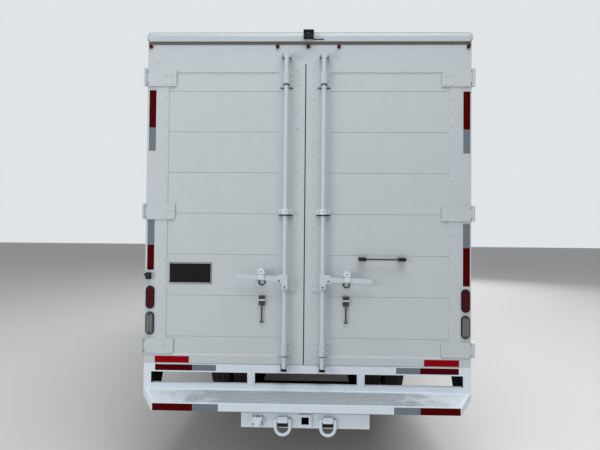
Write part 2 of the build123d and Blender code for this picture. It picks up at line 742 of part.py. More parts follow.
# Roof: a shallow cap with round corners that hangs over a groove all round, and the bows inside it
roof_half = body_half + roof_overhang
cap_wall = 4
drip_line = roof_line + 26
drip_inset = 10
rail_inset = 40
bow_depth = 40
bow_pitch = 610
bow_width = 50
first_bow = 140
with BuildPart() as box_roof:
    with BuildSketch(Plane.XZ.offset(-body_front_y - roof_overhang)):
        with Locations((0, roof_line + roof_rise / 2)):
            Rectangle(2 * roof_half, roof_rise)
        fillet(vertices().group_by(Axis.Y)[-1], roof_radius)
    extrude(amount=body_length + 2 * roof_overhang)
    with BuildSketch(Plane.XZ.offset(-body_front_y - roof_overhang + 2 * cap_wall)):
        with Locations((0, roof_line + roof_rise / 2 - cap_wall)):
            Rectangle(2 * (roof_half - 2 * cap_wall), roof_rise)
        fillet(vertices().group_by(Axis.Y)[-1], roof_radius - cap_wall)
    extrude(amount=body_length + 2 * roof_overhang - 4 * cap_wall, mode=Mode.SUBTRACT)
    bow_rows = int(body_length / bow_pitch)
    for row in range(bow_rows):
        bow_y = post_y + first_bow + row * bow_pitch
        block((-roof_half + 2 * cap_wall, roof_half - 2 * cap_wall), (bow_y, bow_y + bow_width),
              (roof_line + roof_rise - bow_depth, roof_line + roof_rise - cap_wall))
    block((-roof_half, roof_half), (post_y - roof_overhang, body_front_y + roof_overhang),
          (roof_line, drip_line),
          mode=Mode.SUBTRACT)
    for sign in (-1, 1):
        block((sign * (body_half - rail_inset), sign * (body_half - drip_inset)),
              (post_y + drip_inset, body_front_y - drip_inset),
              (roof_line, drip_line + cap_wall))
        block((sign * (body_half - rail_inset), sign * (roof_half - cap_wall)), (post_y, body_front_y),
              (drip_line, drip_line + 2 * cap_wall))
    for rail_start, rail_end in ((post_y + drip_inset, post_y + rail_inset),
                                 (body_front_y - rail_inset, body_front_y - drip_inset)):
        block((-body_half + drip_inset, body_half - drip_inset), (rail_start, rail_end),
              (roof_line, drip_line + cap_wall))
    for ledge_start, ledge_end in ((post_y - cap_wall, post_y + rail_inset),
                                   (body_front_y - rail_inset, body_front_y + cap_wall)):
        block((-roof_half + cap_wall, roof_half - cap_wall), (ledge_start, ledge_end),
              (drip_line, drip_line + 2 * cap_wall))
box_roof.part.label = "box_roof"
export_step(box_roof.part, "parts/box_roof.step")

# Rear frame: posts, header and sill round the doorway, with the fixed halves of the hinges
door_half = body_half - post_width
doorway_top = roof_line - header_height
sill_bottom = floor_top - sill_height
hinge_x = body_half + hinge_out
hinge_y = post_y - hinge_back
leg_width = 57
middle_leg = (frame_half - 50, frame_half + 5)
side_leaf = 72
hinge_ear_out = 4
hinge_ear_deep = 8
with BuildPart() as rear_frame:
    with BuildSketch(Plane.XZ.offset(-post_y - post_depth)):
        with Locations((0, (roof_line + sill_bottom) / 2)):
            Rectangle(body_width, roof_line - sill_bottom)
        with Locations((0, (doorway_top + floor_top) / 2)):
            Rectangle(2 * door_half, doorway_top - floor_top, mode=Mode.SUBTRACT)
    extrude(amount=post_depth)
    with BuildSketch(Plane.XZ.offset(-post_y - post_depth - stop_depth)):
        with Locations((0, (roof_line + sill_bottom) / 2)):
            Rectangle(body_width, roof_line - sill_bottom)
        with Locations((0, (doorway_top - stop_width + floor_top) / 2)):
            Rectangle(2 * (door_half - stop_width), doorway_top - stop_width - floor_top,
                      mode=Mode.SUBTRACT)
    extrude(amount=stop_depth)
    for sign in (-1, 1):
        block((sign * (body_half - leg_width), sign * body_half),
              (post_y, post_y + post_depth + stop_depth),
              (step_top, sill_bottom))
        block((sign * middle_leg[0], sign * middle_leg[1]), (post_y, post_y + post_depth),
              (step_top + step_beam, sill_bottom))
        for hinge_z, strap_height in zip(hinge_rows, strap_heights):
            knuckle_height = (strap_height - strap_barrel) / 2 - 1
            block((sign * body_half, sign * (body_half + strap_thick)), (post_y, post_y + side_leaf),
                  (hinge_z - strap_height / 2, hinge_z + strap_height / 2))
            for end in (-1, 1):
                middle_z = hinge_z + end * (strap_height - knuckle_height) / 2
                with Locations((sign * hinge_x, hinge_y, middle_z)):
                    Cylinder(hinge_barrel_radius, knuckle_height)
                block((sign * body_half, sign * (hinge_x + hinge_ear_out)),
                      (hinge_y, post_y + hinge_ear_deep),
                      (middle_z - knuckle_height / 2, middle_z + knuckle_height / 2))
            with Locations((sign * hinge_x, hinge_y, hinge_z)):
                Cylinder(hinge_pin_radius, strap_height)
rear_frame.part.label = "rear_frame"
export_step(rear_frame.part, "parts/rear_frame.step")

# Keepers for the four rod ends: a base on the frame with a prong each side of the rod
door_face_y = post_y - door_proud
rod_y = door_face_y - rod_stand
prong_round = 10
with BuildPart() as lock_keepers:
    for side, sign, rod_x in rod_places:
        for keeper_z, keeper_height, keeper_half in keepers:
            keeper_rows = (keeper_z, keeper_z + keeper_height)
            outer_half = keeper_half + keeper_wall
            block((rod_x - outer_half, rod_x + outer_half), (post_y - keeper_base, post_y), keeper_rows)
            for end in (-1, 1):
                block((rod_x + end * keeper_half, rod_x + end * outer_half),
                      (rod_y - keeper_past_rod, post_y), keeper_rows)
    prong_edges = lock_keepers.edges().filter_by(Axis.X).group_by(Axis.Y)[0]
    fillet(prong_edges, prong_round)
lock_keepers.part.label = "lock_keepers"
export_step(lock_keepers.part, "parts/lock_keepers.step")

# Rear doors, with their straps, rod guides and handle catches
# Each guide is its middle height, the height and width of its plate, how far the plate is moved
# towards the meeting line, and the length of its sleeve
guides = (
    (1007, 115, 95, 0, 88),
    (1445, 34, 104, 30, 14),
    (2024, 60, 84, 0, 42),
    (3017, 115, 95, 0, 88),
)
guide_plate = 6
guide_radius = rod_radius + 8
panel_y = door_face_y + panel_set_back
catch_places = {"left": -335, "right": 297}
catch_radius = 19
catch_foot_half = 31
catch_rise = 46
catch_gap = 29
catch_eye_hole = 5
catch_ring_radius = 23
catch_ring_bar = 3.5
catch_ring_drop = 37
handle_root_z = 1527
handle_ends = {"left": (-506, 1545), "right": (465, 1517)}
handle_half_height = 15
handle_root_half = 18
handle_thick = 16
handle_y = rod_y - 22
knob_half = 25
knob_rise = 24
knob_drop = 12
knob_out = 8
hub_bottom = 1455
hub_low = 1499
hub_high = 1558
hub_out = 57
hub_in = 21
hub_cheek = 3
for side, sign, rod_x in rod_places:
    edge_x = sign * (door_half - door_gap)
    free_x = meeting_x + sign * meeting_gap / 2
    door_low = floor_top + door_bottom_gap
    door_high = doorway_top - door_gap
    panel_x = (rod_x + sign * meeting_stile_past_rod, edge_x - sign * outer_stile)
    catch_x = catch_places[side]
    handle_end = Vector(handle_ends[side][0], handle_ends[side][1])
    handle_root = Vector(rod_x, handle_root_z)
    lever = handle_end - handle_root
    catch_z = handle_root_z + lever.Y * (catch_x - rod_x) / lever.X
    with BuildPart() as rear_door:
        block((free_x, edge_x), (door_face_y, door_face_y + door_thick), (door_low, door_high))
        block(panel_x, (door_face_y, panel_y), (door_low + bottom_rail, door_high - top_rail),
              mode=Mode.SUBTRACT)
        with BuildSketch(Plane.YZ.offset(min(panel_x))):
            with BuildLine():
                Polyline((door_face_y, door_low + bottom_rail - rail_bevel),
                         (panel_y, door_low + bottom_rail),
                         (door_face_y, door_low + bottom_rail), close=True)
            make_face()
        extrude(amount=max(panel_x) - min(panel_x), mode=Mode.SUBTRACT)
        plank_rows = int((doorway_top - floor_top - first_plank) / plank_height) + 1
        for row in range(plank_rows):
            groove_z = floor_top + first_plank + row * plank_height
            block(panel_x, (door_face_y, panel_y + plank_groove),
                  (groove_z - plank_groove_half, groove_z + plank_groove_half), mode=Mode.SUBTRACT)
        for hinge_z, strap_height in zip(hinge_rows, strap_heights):
            strap_end = sign * (hinge_x + hinge_barrel_radius - strap_length)
            strap_start = sign * (body_half - strap_neck)
            block((strap_end, strap_start), (door_face_y - strap_thick, door_face_y),
                  (hinge_z - strap_height / 2, hinge_z + strap_height / 2))
            block((strap_start, sign * hinge_x), (door_face_y - strap_thick, door_face_y),
                  (hinge_z - strap_barrel / 2, hinge_z + strap_barrel / 2))
            with Locations((sign * hinge_x, hinge_y, hinge_z)):
                Cylinder(hinge_barrel_radius, strap_barrel)
                Cylinder(hinge_pin_radius + running, strap_barrel, mode=Mode.SUBTRACT)
        for guide_z, plate_height, plate_width, plate_shift, sleeve in guides:
            plate_x = rod_x - sign * plate_shift
            block((plate_x - plate_width / 2, plate_x + plate_width / 2),
                  (door_face_y - guide_plate, door_face_y),
                  (guide_z - plate_height / 2, guide_z + plate_height / 2))
            block((rod_x - guide_radius, rod_x + guide_radius), (rod_y, door_face_y),
                  (guide_z - sleeve / 2, guide_z + sleeve / 2))
            with Locations((rod_x, rod_y, guide_z)):
                Cylinder(guide_radius, sleeve)
                Cylinder(rod_radius + running, sleeve, mode=Mode.SUBTRACT)
        with BuildSketch(Plane.XZ.offset(-panel_y)):
            with Locations((catch_x, catch_z + catch_rise)):
                Circle(catch_radius)
            with BuildLine():
                Polyline((catch_x - catch_foot_half, catch_z + catch_gap),
                         (catch_x + catch_foot_half, catch_z + catch_gap),
                         (catch_x + catch_radius, catch_z + catch_rise),
                         (catch_x - catch_radius, catch_z + catch_rise), close=True)
            make_face()
            with Locations((catch_x, catch_z + catch_rise)):
                Circle(catch_eye_hole, mode=Mode.SUBTRACT)
        extrude(amount=panel_y - handle_y + handle_thick / 2)
        with Locations(Plane(origin=(catch_x, panel_y - catch_ring_bar + running,
                                     catch_z - catch_ring_drop),
                             z_dir=(0, -1, 0))):
            Torus(catch_ring_radius, catch_ring_bar)
    rear_door.part.label = f"rear_door_{side}"
    export_step(rear_door.part, f"parts/rear_door_{side}.step")

    # The rod with a cam at each end, and a tapered lever in a clevis
    with BuildPart() as lock_rod:
        bar((rod_x, rod_y, rod_bottom), (rod_x, rod_y, rod_top), rod_radius)
        for keeper_z, keeper_height, keeper_half in keepers:
            cam_reach = keeper_half - cam_gap
            block((rod_x - cam_reach, rod_x + cam_reach), (rod_y - cam_half_thick, rod_y + cam_half_thick),
                  (keeper_z + cam_gap, keeper_z + keeper_height - cam_gap))
        hub_y = (handle_y - handle_thick / 2 - hub_cheek, rod_y)
        bar((rod_x, rod_y, hub_bottom), (rod_x, rod_y, hub_high), guide_radius - 1)
        block((rod_x - hub_in, rod_x + hub_in), hub_y, (hub_bottom, hub_low))
        block((rod_x - sign * hub_in, rod_x + sign * hub_out), hub_y, (hub_low, hub_high))
        block((catch_x - knob_half, catch_x + knob_half),
              (handle_y - handle_thick / 2 - knob_out, handle_y),
              (catch_z - knob_drop, catch_z + knob_rise))
        lever_place = (rod_x, handle_y + handle_thick / 2, handle_root_z)
        with BuildSketch(Plane(origin=lever_place, x_dir=(lever.X, 0, lever.Y), z_dir=(0, -1, 0))):
            with BuildLine():
                Polyline((0, -handle_root_half), (lever.length, -handle_half_height),
                         (lever.length, handle_half_height),
                         (0, handle_root_half), close=True)
            make_face()
            with Locations((lever.length, 0)):
                Circle(handle_half_height)
        extrude(amount=handle_thick)
    lock_rod.part.label = f"lock_rod_{side}"
    export_step(lock_rod.part, f"parts/lock_rod_{side}.step")

# Holdbacks: two blocks, and a drop pin through them with a foot
holdback_places = {"left": -333, "right": 293}
holdback_half = 23
upper_block = (1374, 1397)
lower_block = (1325, 1359)
block_stand = 16
drop_pin_radius = 6
drop_pin_end = 1203
drop_pin_foot = 15
drop_pin_seat = 10
for side, sign in sides:
    hook_x = holdback_places[side]
    pin_y = panel_y - block_stand
    with BuildPart() as holdback:
        for block_rows in (upper_block, lower_block):
            block((hook_x - holdback_half, hook_x + holdback_half), (panel_y - block_stand, panel_y),
                  block_rows)
        bar((hook_x, pin_y, upper_block[0] + drop_pin_seat), (hook_x, pin_y, drop_pin_end), drop_pin_radius)
        bar((hook_x - drop_pin_foot, pin_y, drop_pin_end), (hook_x + drop_pin_foot, pin_y, drop_pin_end),
            drop_pin_radius)
    holdback.part.label = f"holdback_{side}"
    export_step(holdback.part, f"parts/holdback_{side}.step")

# Grab handle: a round bar between two cast feet
grab_z = 1678
grab_stand = 48
grab_bar_radius = 7
grab_feet = (411, 702)
grab_foot_half = 29
grab_foot_half_height = 13
grab_foot_narrow = 14
grab_foot_low = 4
with BuildPart() as grab_handle:
    grab_y = panel_y - grab_stand
    for foot_x in grab_feet:
        with BuildSketch(Plane.XZ.offset(-panel_y)):
            with Locations((foot_x, grab_z)):
                SlotOverall(2 * grab_foot_half, 2 * grab_foot_half_height)
        with BuildSketch(Plane.XZ.offset(-grab_y)):
            with Locations((foot_x, grab_z)):
                SlotOverall(2 * grab_foot_half - grab_foot_narrow,
                            2 * grab_foot_half_height - grab_foot_low)
        loft()
        with BuildSketch(Plane.XZ.offset(-grab_y)):
            with Locations((foot_x, grab_z)):
                SlotOverall(2 * grab_foot_half - grab_foot_narrow,
                            2 * grab_foot_half_height - grab_foot_low)
        extrude(amount=grab_bar_radius)
    bar((grab_feet[0], grab_y, grab_z), (grab_feet[1], grab_y, grab_z), grab_bar_radius)
grab_handle.part.label = "grab_handle"
export_step(grab_handle.part, "parts/grab_handle.step")

# Step bumper: a bevelled tread with a front lip, and the rail behind it
step_lip = 53
step_plate = 5
step_narrow_half = 1058
gusset_thick = 6
gusset_top = 770
gusset_top_reach = 275
gusset_low_reach = 205
with BuildPart() as step_bumper:
    with BuildSketch(Plane.XY.offset(step_top - step_lip)):
        with BuildLine():
            Polyline((-body_half, post_y), (body_half, post_y), (step_narrow_half, post_y - step_depth),
                     (-step_narrow_half, post_y - step_depth), close=True)
        make_face()
    extrude(amount=step_lip)
    with BuildSketch(Plane.XY.offset(step_top - step_plate)):
        with BuildLine():
            Polyline((-body_half + 7, post_y), (body_half - 7, post_y),
                     (step_narrow_half - 3, post_y - step_depth + step_plate),
                     (-step_narrow_half + 3, post_y - step_depth + step_plate), close=True)
        make_face()
    extrude(amount=step_plate - step_lip, mode=Mode.SUBTRACT)
    block((-body_half, body_half), (post_y, post_y + post_depth), (step_top, step_top + step_beam))
    block((-body_half, body_half), (post_y, post_y + post_depth), (step_top - step_lip, step_top))
    for sign in (-1, 1):
        block((sign * (body_half - leg_width), sign * body_half), (post_y, post_y + post_depth),
              (step_top, step_top + step_beam),
              mode=Mode.SUBTRACT)
        with BuildSketch(Plane.YZ.offset(sign * (body_half - leg_width) - (gusset_thick if sign > 0 else 0))):
            with BuildLine():
                Polyline((post_y + post_depth, step_top - step_lip), (post_y + post_depth, gusset_top),
                         (post_y + gusset_top_reach, gusset_top),
                         (post_y + gusset_low_reach, step_top - step_lip), close=True)
            make_face()
        extrude(amount=gusset_thick)
step_bumper.part.label = "step_bumper"
export_step(step_bumper.part, "parts/step_bumper.step")

# Hitch: a plate under the step with a receiver tube, a socket box and arms to the rails
hitch_y = post_y - 240
hitch_half = 444
hitch_low = 520
hitch_high = 620
hitch_plate = 10
arm_front_y = post_y + 260
arm_rise_y = post_y + 60
arm_top = rail_top - 30
arm_toe_y = post_y + 300
arm_heel_y = post_y + 120
hitch_tie_y = (hitch_y + 190, hitch_y + 250)
hitch_tie_half = 30
receiver_out = 12
receiver_collar_half = 44
receiver_z = 572.5
receiver_inner = 51
receiver_outer = 64
receiver_length = 330
socket_x = -328
socket_z = 570
socket_radius = 25
socket_depth = 24
lid_thick = 8
lid_top = 597
lid_low = 555
lid_tab = 533
lid_top_half = 34
lid_low_half = 22
lid_tab_half = 12
lid_hinge_radius = 6
receiver_pin_radius = 8
receiver_pin_back = 60
pin_access_radius = 22
with BuildPart() as hitch:
    block((-hitch_half, hitch_half), (hitch_y, hitch_y + hitch_plate), (hitch_low, hitch_high))
    for sign in (-1, 1):
        with BuildSketch(Plane.YZ.offset(sign * frame_half - (hitch_plate if sign < 0 else 0))):
            with BuildLine():
                Polyline((hitch_y, hitch_low), (hitch_y, hitch_high), (rail_rear_y, hitch_high),
                         (arm_rise_y, arm_top), (arm_front_y, arm_top), (arm_toe_y, rail_bottom),
                         (arm_heel_y, hitch_low), close=True)
            make_face()
            with Locations((hitch_y + receiver_pin_back, receiver_z)):
                Circle(pin_access_radius, mode=Mode.SUBTRACT)
        extrude(amount=hitch_plate)
    block((-frame_half, frame_half), hitch_tie_y,
          (receiver_z - hitch_tie_half, receiver_z + hitch_tie_half))
    block((-receiver_outer / 2, receiver_outer / 2), (hitch_y - receiver_out, hitch_y + receiver_length),
          (receiver_z - receiver_outer / 2, receiver_z + receiver_outer / 2))
    block((-receiver_collar_half, receiver_collar_half), (hitch_y - receiver_out, hitch_y),
          (receiver_z - receiver_collar_half, receiver_z + receiver_collar_half))
    block((-receiver_inner / 2, receiver_inner / 2),
          (hitch_y - receiver_out - 1, hitch_y + receiver_length + 1),
          (receiver_z - receiver_inner / 2, receiver_z + receiver_inner / 2), mode=Mode.SUBTRACT)
    pin_y = hitch_y + receiver_pin_back
    bar((-receiver_outer, pin_y, receiver_z), (receiver_outer, pin_y, receiver_z), receiver_pin_radius,
        mode=Mode.SUBTRACT)
    with BuildSketch(Plane.XZ.offset(-hitch_y)):
        with Locations((socket_x, socket_z)):
            Circle(socket_radius)
    extrude(amount=socket_depth)
    with BuildSketch(Plane.XZ.offset(-hitch_y + socket_depth)):
        with BuildLine():
            Polyline((socket_x - lid_top_half, lid_top), (socket_x + lid_top_half, lid_top),
                     (socket_x + lid_low_half, lid_low),
                     (socket_x + lid_tab_half, lid_low), (socket_x + lid_tab_half, lid_tab),
                     (socket_x - lid_tab_half, lid_tab),
                     (socket_x - lid_tab_half, lid_low), (socket_x - lid_low_half, lid_low), close=True)
        make_face()
    extrude(amount=lid_thick)
    bar((socket_x - lid_top_half, hitch_y - socket_depth, lid_top),
        (socket_x + lid_top_half, hitch_y - socket_depth, lid_top),
        lid_hinge_radius)
hitch.part.label = "hitch"
export_step(hitch.part, "parts/hitch.step")

# Safety chain rings: each a D of round bar held to the plate by a clip
ring_places = (-155, 157)
ring_half = 49.5
ring_bar = 10.5
ring_bend_z = 527
ring_top_z = 577
clip_half = 34
clip_low = 562
clip_high = 604
with BuildPart() as d_rings:
    for ring_x in ring_places:
        ring_y = hitch_y - ring_bar - 2
        corners = ((ring_x - ring_half, ring_y, ring_top_z), (ring_x + ring_half, ring_y, ring_top_z))
        bar(corners[0], corners[1], ring_bar)
        for corner in corners:
            bar(corner, (corner[0], ring_y, ring_bend_z), ring_bar)
            with Locations(corner):
                Sphere(ring_bar)
        with BuildSketch(Plane.XY.offset(ring_bend_z)):
            with Locations((ring_x + ring_half, ring_y)):
                Circle(ring_bar)
        revolve(axis=Axis((ring_x, ring_y, ring_bend_z), (0, 1, 0)), revolution_arc=180)
        block((ring_x - clip_half, ring_x + clip_half), (ring_y - ring_bar - 3, hitch_y),
              (clip_low, clip_high))
d_rings.part.label = "d_rings"
export_step(d_rings.part, "parts/d_rings.step")

# Lamps and the rear camera
oval_width = 57
oval_height = 165
lamp_x = 1178
lamp_deep = 14
stop_lamp_z = 1375
reversing_lamp_z = 1180
marker_places = (-1196, -234, -3, 228, 1195)
marker_z = 3272
marker_radius = 14
marker_deep = 12
with BuildPart() as red_lamps:
    with BuildSketch(Plane.XZ.offset(-post_y)):
        for sign in (-1, 1):
            with Locations((sign * lamp_x, stop_lamp_z)):
                SlotOverall(oval_height, oval_width, rotation=90)
    extrude(amount=lamp_deep)
    for marker_x in marker_places:
        bar((marker_x, post_y, marker_z), (marker_x, post_y - marker_deep, marker_z), marker_radius)
red_lamps.part.label = "red_lamps"
export_step(red_lamps.part, "parts/red_lamps.step")

with BuildPart() as reversing_lamps:
    with BuildSketch(Plane.XZ.offset(-post_y)):
        for sign in (-1, 1):
            with Locations((sign * lamp_x, reversing_lamp_z)):
                SlotOverall(oval_height, oval_width, rotation=90)
    extrude(amount=lamp_deep)
reversing_lamps.part.label = "reversing_lamps"
export_step(reversing_lamps.part, "parts/reversing_lamps.step")

plate_lamp_x = (-1209, -1169)
plate_lamp_z = (1512, 1562)
plate_lamp_deep = 30
plate_lamp_round = 8
with BuildPart() as plate_lamp:
    block(plate_lamp_x, (post_y - plate_lamp_deep, post_y), plate_lamp_z)
    fillet(plate_lamp.edges().filter_by(Axis.Z), plate_lamp_round)
plate_lamp.part.label = "plate_lamp"
export_step(plate_lamp.part, "parts/plate_lamp.step")

camera_y = post_y - roof_overhang
camera_half = 38
camera_deep = 46
camera_z = (3330, 3408)
camera_round = 8
with BuildPart() as rear_camera:
    block((-camera_half, camera_half), (camera_y - camera_deep, camera_y), camera_z)
    fillet(rear_camera.edges().filter_by(Axis.Y), camera_round)
rear_camera.part.label = "rear_camera"
export_step(rear_camera.part, "parts/rear_camera.step")

# Front bumper on the rail ends
bumper_low = 420
bumper_high = 616
bumper_half = 1010
bumper_y = cab_front_y + bumper_gap
bumper_round = 55
bumper_wall = 8
bumper_end_wall = 5
bumper_iron_deep = 20
bumper_iron_drop = 6
with BuildPart() as front_bumper:
    block((-bumper_half, bumper_half), (bumper_y, bumper_y + bumper_depth), (bumper_low, bumper_high))
    fillet(front_bumper.edges().filter_by(Axis.Z).group_by(Axis.Y)[-1], bumper_round)
    block((-bumper_half + bumper_end_wall, bumper_half - bumper_end_wall),
          (bumper_y - 1, bumper_y + bumper_depth - bumper_wall),
          (bumper_low + bumper_wall, bumper_high - bumper_wall), mode=Mode.SUBTRACT)
    for sign in (-1, 1):
        block((sign * (frame_half - rail_flange), sign * frame_half),
              (rail_front_y, bumper_y + bumper_iron_deep),
              (rail_bottom, bumper_high - bumper_iron_drop))
        block((sign * (frame_half - rail_flange), sign * frame_half), (bumper_y, bumper_y + bumper_depth),
              (bumper_low, bumper_high))
front_bumper.part.label = "front_bumper"
export_step(front_bumper.part, "parts/front_bumper.step")

# Cab: a hollow shell with its openings, floor, front apron, step wells and mudguards
cab_half = 1000
cab_low = 860
cab_roof = 2300
cab_wall = 35
cab_floor = 30
cab_apron_low = 650
screen_base = (cab_front_y - 20, 1280)
screen_head = (cab_front_y - 250, 2190)
roof_front_y = cab_front_y - 420
well_rear_y = front_axle_y + 480
well_front_y = cab_front_y - 40
well_low = 550
well_half = 690
guard_radius = 474
guard_thick = 8
apron_bend_z = 1230
door_top_z = 2150
door_bend_z = 1310
cab_roof_round = 60
cab_corner_round = 30

with BuildPart() as cab_room:
    with BuildSketch(Plane.YZ):
        with BuildLine():
            Polyline(
                (cab_back_y + cab_wall, cab_low + cab_floor), (cab_back_y + cab_wall, cab_roof - cab_wall),
                (roof_front_y, cab_roof - cab_wall),
                (screen_head[0] - cab_wall, screen_head[1] - cab_wall / 2),
                (screen_base[0] - cab_wall, screen_base[1]), (cab_front_y - cab_wall, apron_bend_z),
                (cab_front_y - cab_wall, cab_low + cab_floor), close=True)
        make_face()
    extrude(amount=cab_half - cab_wall, both=True)

door_hinge_y = cab_front_y - 165
door_rear_y = front_axle_y - 90
door_low = cab_low + cab_floor + 10
cab_door_outline = (
    (door_hinge_y, door_low), (front_axle_y + 260, door_low), (front_axle_y + 20, door_low + 60),
    (door_rear_y, door_low + 200),
    (door_rear_y, door_top_z), (door_hinge_y - 225, door_top_z), (door_hinge_y, door_bend_z),
)

cab_pivot_x = cab_half + 10
cab_pivot_y = door_hinge_y + 2
cab_hinge_rows = (1010, 1230)
cab_hinge_height = 72
cab_hinge_leaf = 6
cab_barrel_radius = 8
cab_barrel_height = 38
cab_pin_radius = 4
cab_leaf_start = 11
cab_leaf_end = 50
cab_ear_leaf = 20

screen_slope = Vector(0, screen_head[0] - screen_base[0], screen_head[1] - screen_base[1])
screen_middle = Vector(0, (screen_head[0] + screen_base[0]) / 2, (screen_head[1] + screen_base[1]) / 2)
screen_plane = Plane(origin=screen_middle, x_dir=(1, 0, 0), z_dir=(0, screen_slope.Z, -screen_slope.Y))
screen_width = 1760
screen_height = screen_slope.length - 90
screen_corner = 70
glass_thick = 6
glass_inset = 12
back_window = (1300, 420)
back_window_z = 1820
lamp_places_x = 760
lamp_z = 820
lamp_size = (300, 130)
lamp_recess = 20
lamp_corner = 30
lamp_proud = 6
grille_rows = 5
grille_width = 900
grille_low = 960
grille_pitch = 46
grille_slot = 26
back_window_corner = 60

seat_places = ((-500, 460), (350, 860))
seat_box_top = 1130
seat_box_in = 30
seat_box_y = (cab_back_y + 330, cab_back_y + 760)

with BuildPart() as cab_shell:
    with BuildSketch(Plane.YZ):
        with BuildLine():
            Polyline(
                (cab_back_y, cab_low), (cab_back_y, cab_roof), (roof_front_y, cab_roof), screen_head,
                screen_base,
                (cab_front_y, apron_bend_z), (cab_front_y, cab_apron_low),
                (cab_front_y - cab_wall, cab_apron_low),
                (cab_front_y - cab_wall, cab_low), close=True)
        make_face()
    extrude(amount=cab_half, both=True)
    roof_edges = cab_shell.faces().sort_by(Axis.Z)[-1].edges()
    fillet(roof_edges, cab_roof_round)
    front_edges = cab_shell.edges().filter_by(Axis.Z).group_by(Axis.Y)[-1]
    fillet(front_edges, cab_corner_round)
    add(cab_room.part, mode=Mode.SUBTRACT)
    with BuildSketch(Plane.YZ):
        with BuildLine():
            Polyline(*cab_door_outline, close=True)
        make_face()
    extrude(amount=cab_half + 1, both=True, mode=Mode.SUBTRACT)
    with BuildSketch(screen_plane):
        RectangleRounded(screen_width, screen_height, screen_corner)
    extrude(amount=3 * cab_wall, both=True, mode=Mode.SUBTRACT)
    with BuildSketch(Plane.XZ.offset(-cab_back_y)):
        with Locations((0, back_window_z)):
            RectangleRounded(*back_window, back_window_corner)
    extrude(amount=2 * cab_wall, both=True, mode=Mode.SUBTRACT)
    with BuildSketch(Plane.XZ.offset(-cab_front_y)):
        with Locations((-lamp_places_x, lamp_z), (lamp_places_x, lamp_z)):
            RectangleRounded(*lamp_size, lamp_corner)
        for row in range(grille_rows):
            with Locations((0, grille_low + grille_pitch * row)):
                SlotOverall(grille_width, grille_slot)
    extrude(amount=lamp_recess, mode=Mode.SUBTRACT)
    for sign in (-1, 1):
        for hinge_z in cab_hinge_rows:
            block((sign * cab_half, sign * (cab_half + cab_hinge_leaf)),
                  (cab_pivot_y + cab_leaf_start, cab_pivot_y + cab_leaf_end),
                  (hinge_z - cab_hinge_height / 2, hinge_z + cab_hinge_height / 2))
            with Locations((sign * cab_pivot_x, cab_pivot_y, hinge_z)):
                Cylinder(cab_pin_radius, cab_hinge_height)
            for end in (-1, 1):
                ear_height = (cab_hinge_height - cab_barrel_height) / 2 - 1
                ear_z = hinge_z + end * (cab_hinge_height - ear_height) / 2
                with Locations((sign * cab_pivot_x, cab_pivot_y, ear_z)):
                    Cylinder(cab_barrel_radius, ear_height)
                block((sign * cab_half, sign * (cab_half + cab_hinge_leaf)),
                      (cab_pivot_y, cab_pivot_y + cab_ear_leaf),
                      (ear_z - ear_height / 2, ear_z + ear_height / 2))
    block((-cab_half - 1, cab_half + 1), (cab_back_y - 1, cab_front_y - cab_wall),
          (cab_low - 1, cab_low + cab_floor),
          mode=Mode.SUBTRACT)
cab_shell.part.label = "cab_shell"
export_step(cab_shell.part, "parts/cab_shell.step")

# Cab floor with the seat boxes on it and the tilt lugs under it
with BuildPart() as cab_floor_pan:
    block((-cab_half, cab_half), (cab_back_y, cab_front_y - cab_wall), (cab_low, cab_low + cab_floor))
    for seat_x, seat_width in seat_places:
        block((seat_x - seat_width / 2 + seat_box_in, seat_x + seat_width / 2 - seat_box_in), seat_box_y,
              (cab_low + cab_floor, seat_box_top))
    for sign in (-1, 1):
        lug_low_x = frame_half + cab_lug_gap
        lug_x = (sign * lug_low_x, sign * (lug_low_x + cab_lug_thick))
        block(lug_x, (tilt_y - tilt_lug_radius, tilt_y + tilt_lug_radius), (tilt_z, cab_low))
        bar((lug_x[0], tilt_y, tilt_z), (lug_x[1], tilt_y, tilt_z), tilt_lug_radius)
        bar((lug_x[0] - sign, tilt_y, tilt_z), (lug_x[1] + sign, tilt_y, tilt_z), tilt_pin_radius + running,
            mode=Mode.SUBTRACT)
cab_floor_pan.part.label = "cab_floor"
export_step(cab_floor_pan.part, "parts/cab_floor.step")

# Steps: a box each side that is open outwards, hung under the floor
guard_outside = cab_half - 4
well_wall = 8
well_tread = 12
with BuildPart() as cab_steps:
    for sign in (-1, 1):
        well_x = (sign * well_half, sign * guard_outside)
        block(well_x, (well_rear_y, well_front_y), (well_low, cab_low))
        block((sign * (well_half + well_wall), sign * cab_half),
              (well_rear_y + well_wall, well_front_y - well_wall),
              (well_low + well_tread, cab_low + 1), mode=Mode.SUBTRACT)
cab_steps.part.label = "cab_steps"
export_step(cab_steps.part, "parts/cab_steps.step")

# Mudguards over the front tyres, on the steps and the floor
guard_arc = 132
guard_start = 25
guard_inside = 660
with BuildPart() as mudguards:
    for sign in (-1, 1):
        with BuildSketch(Plane.YZ.offset(guard_inside if sign > 0 else -guard_outside)):
            with BuildLine():
                guard_outer = CenterArc((front_axle_y, tyre_radius), guard_radius, guard_start, guard_arc)
                guard_inner = CenterArc((front_axle_y, tyre_radius), guard_radius - guard_thick,
                                        guard_start,
                                        guard_arc)
                Line(guard_outer @ 0, guard_inner @ 0)
                Line(guard_outer @ 1, guard_inner @ 1)
            make_face()
        extrude(amount=guard_outside - guard_inside)
    add(cab_floor_pan.part, mode=Mode.SUBTRACT)
mudguards.part.label = "mudguards"
export_step(mudguards.part, "parts/mudguards.step")

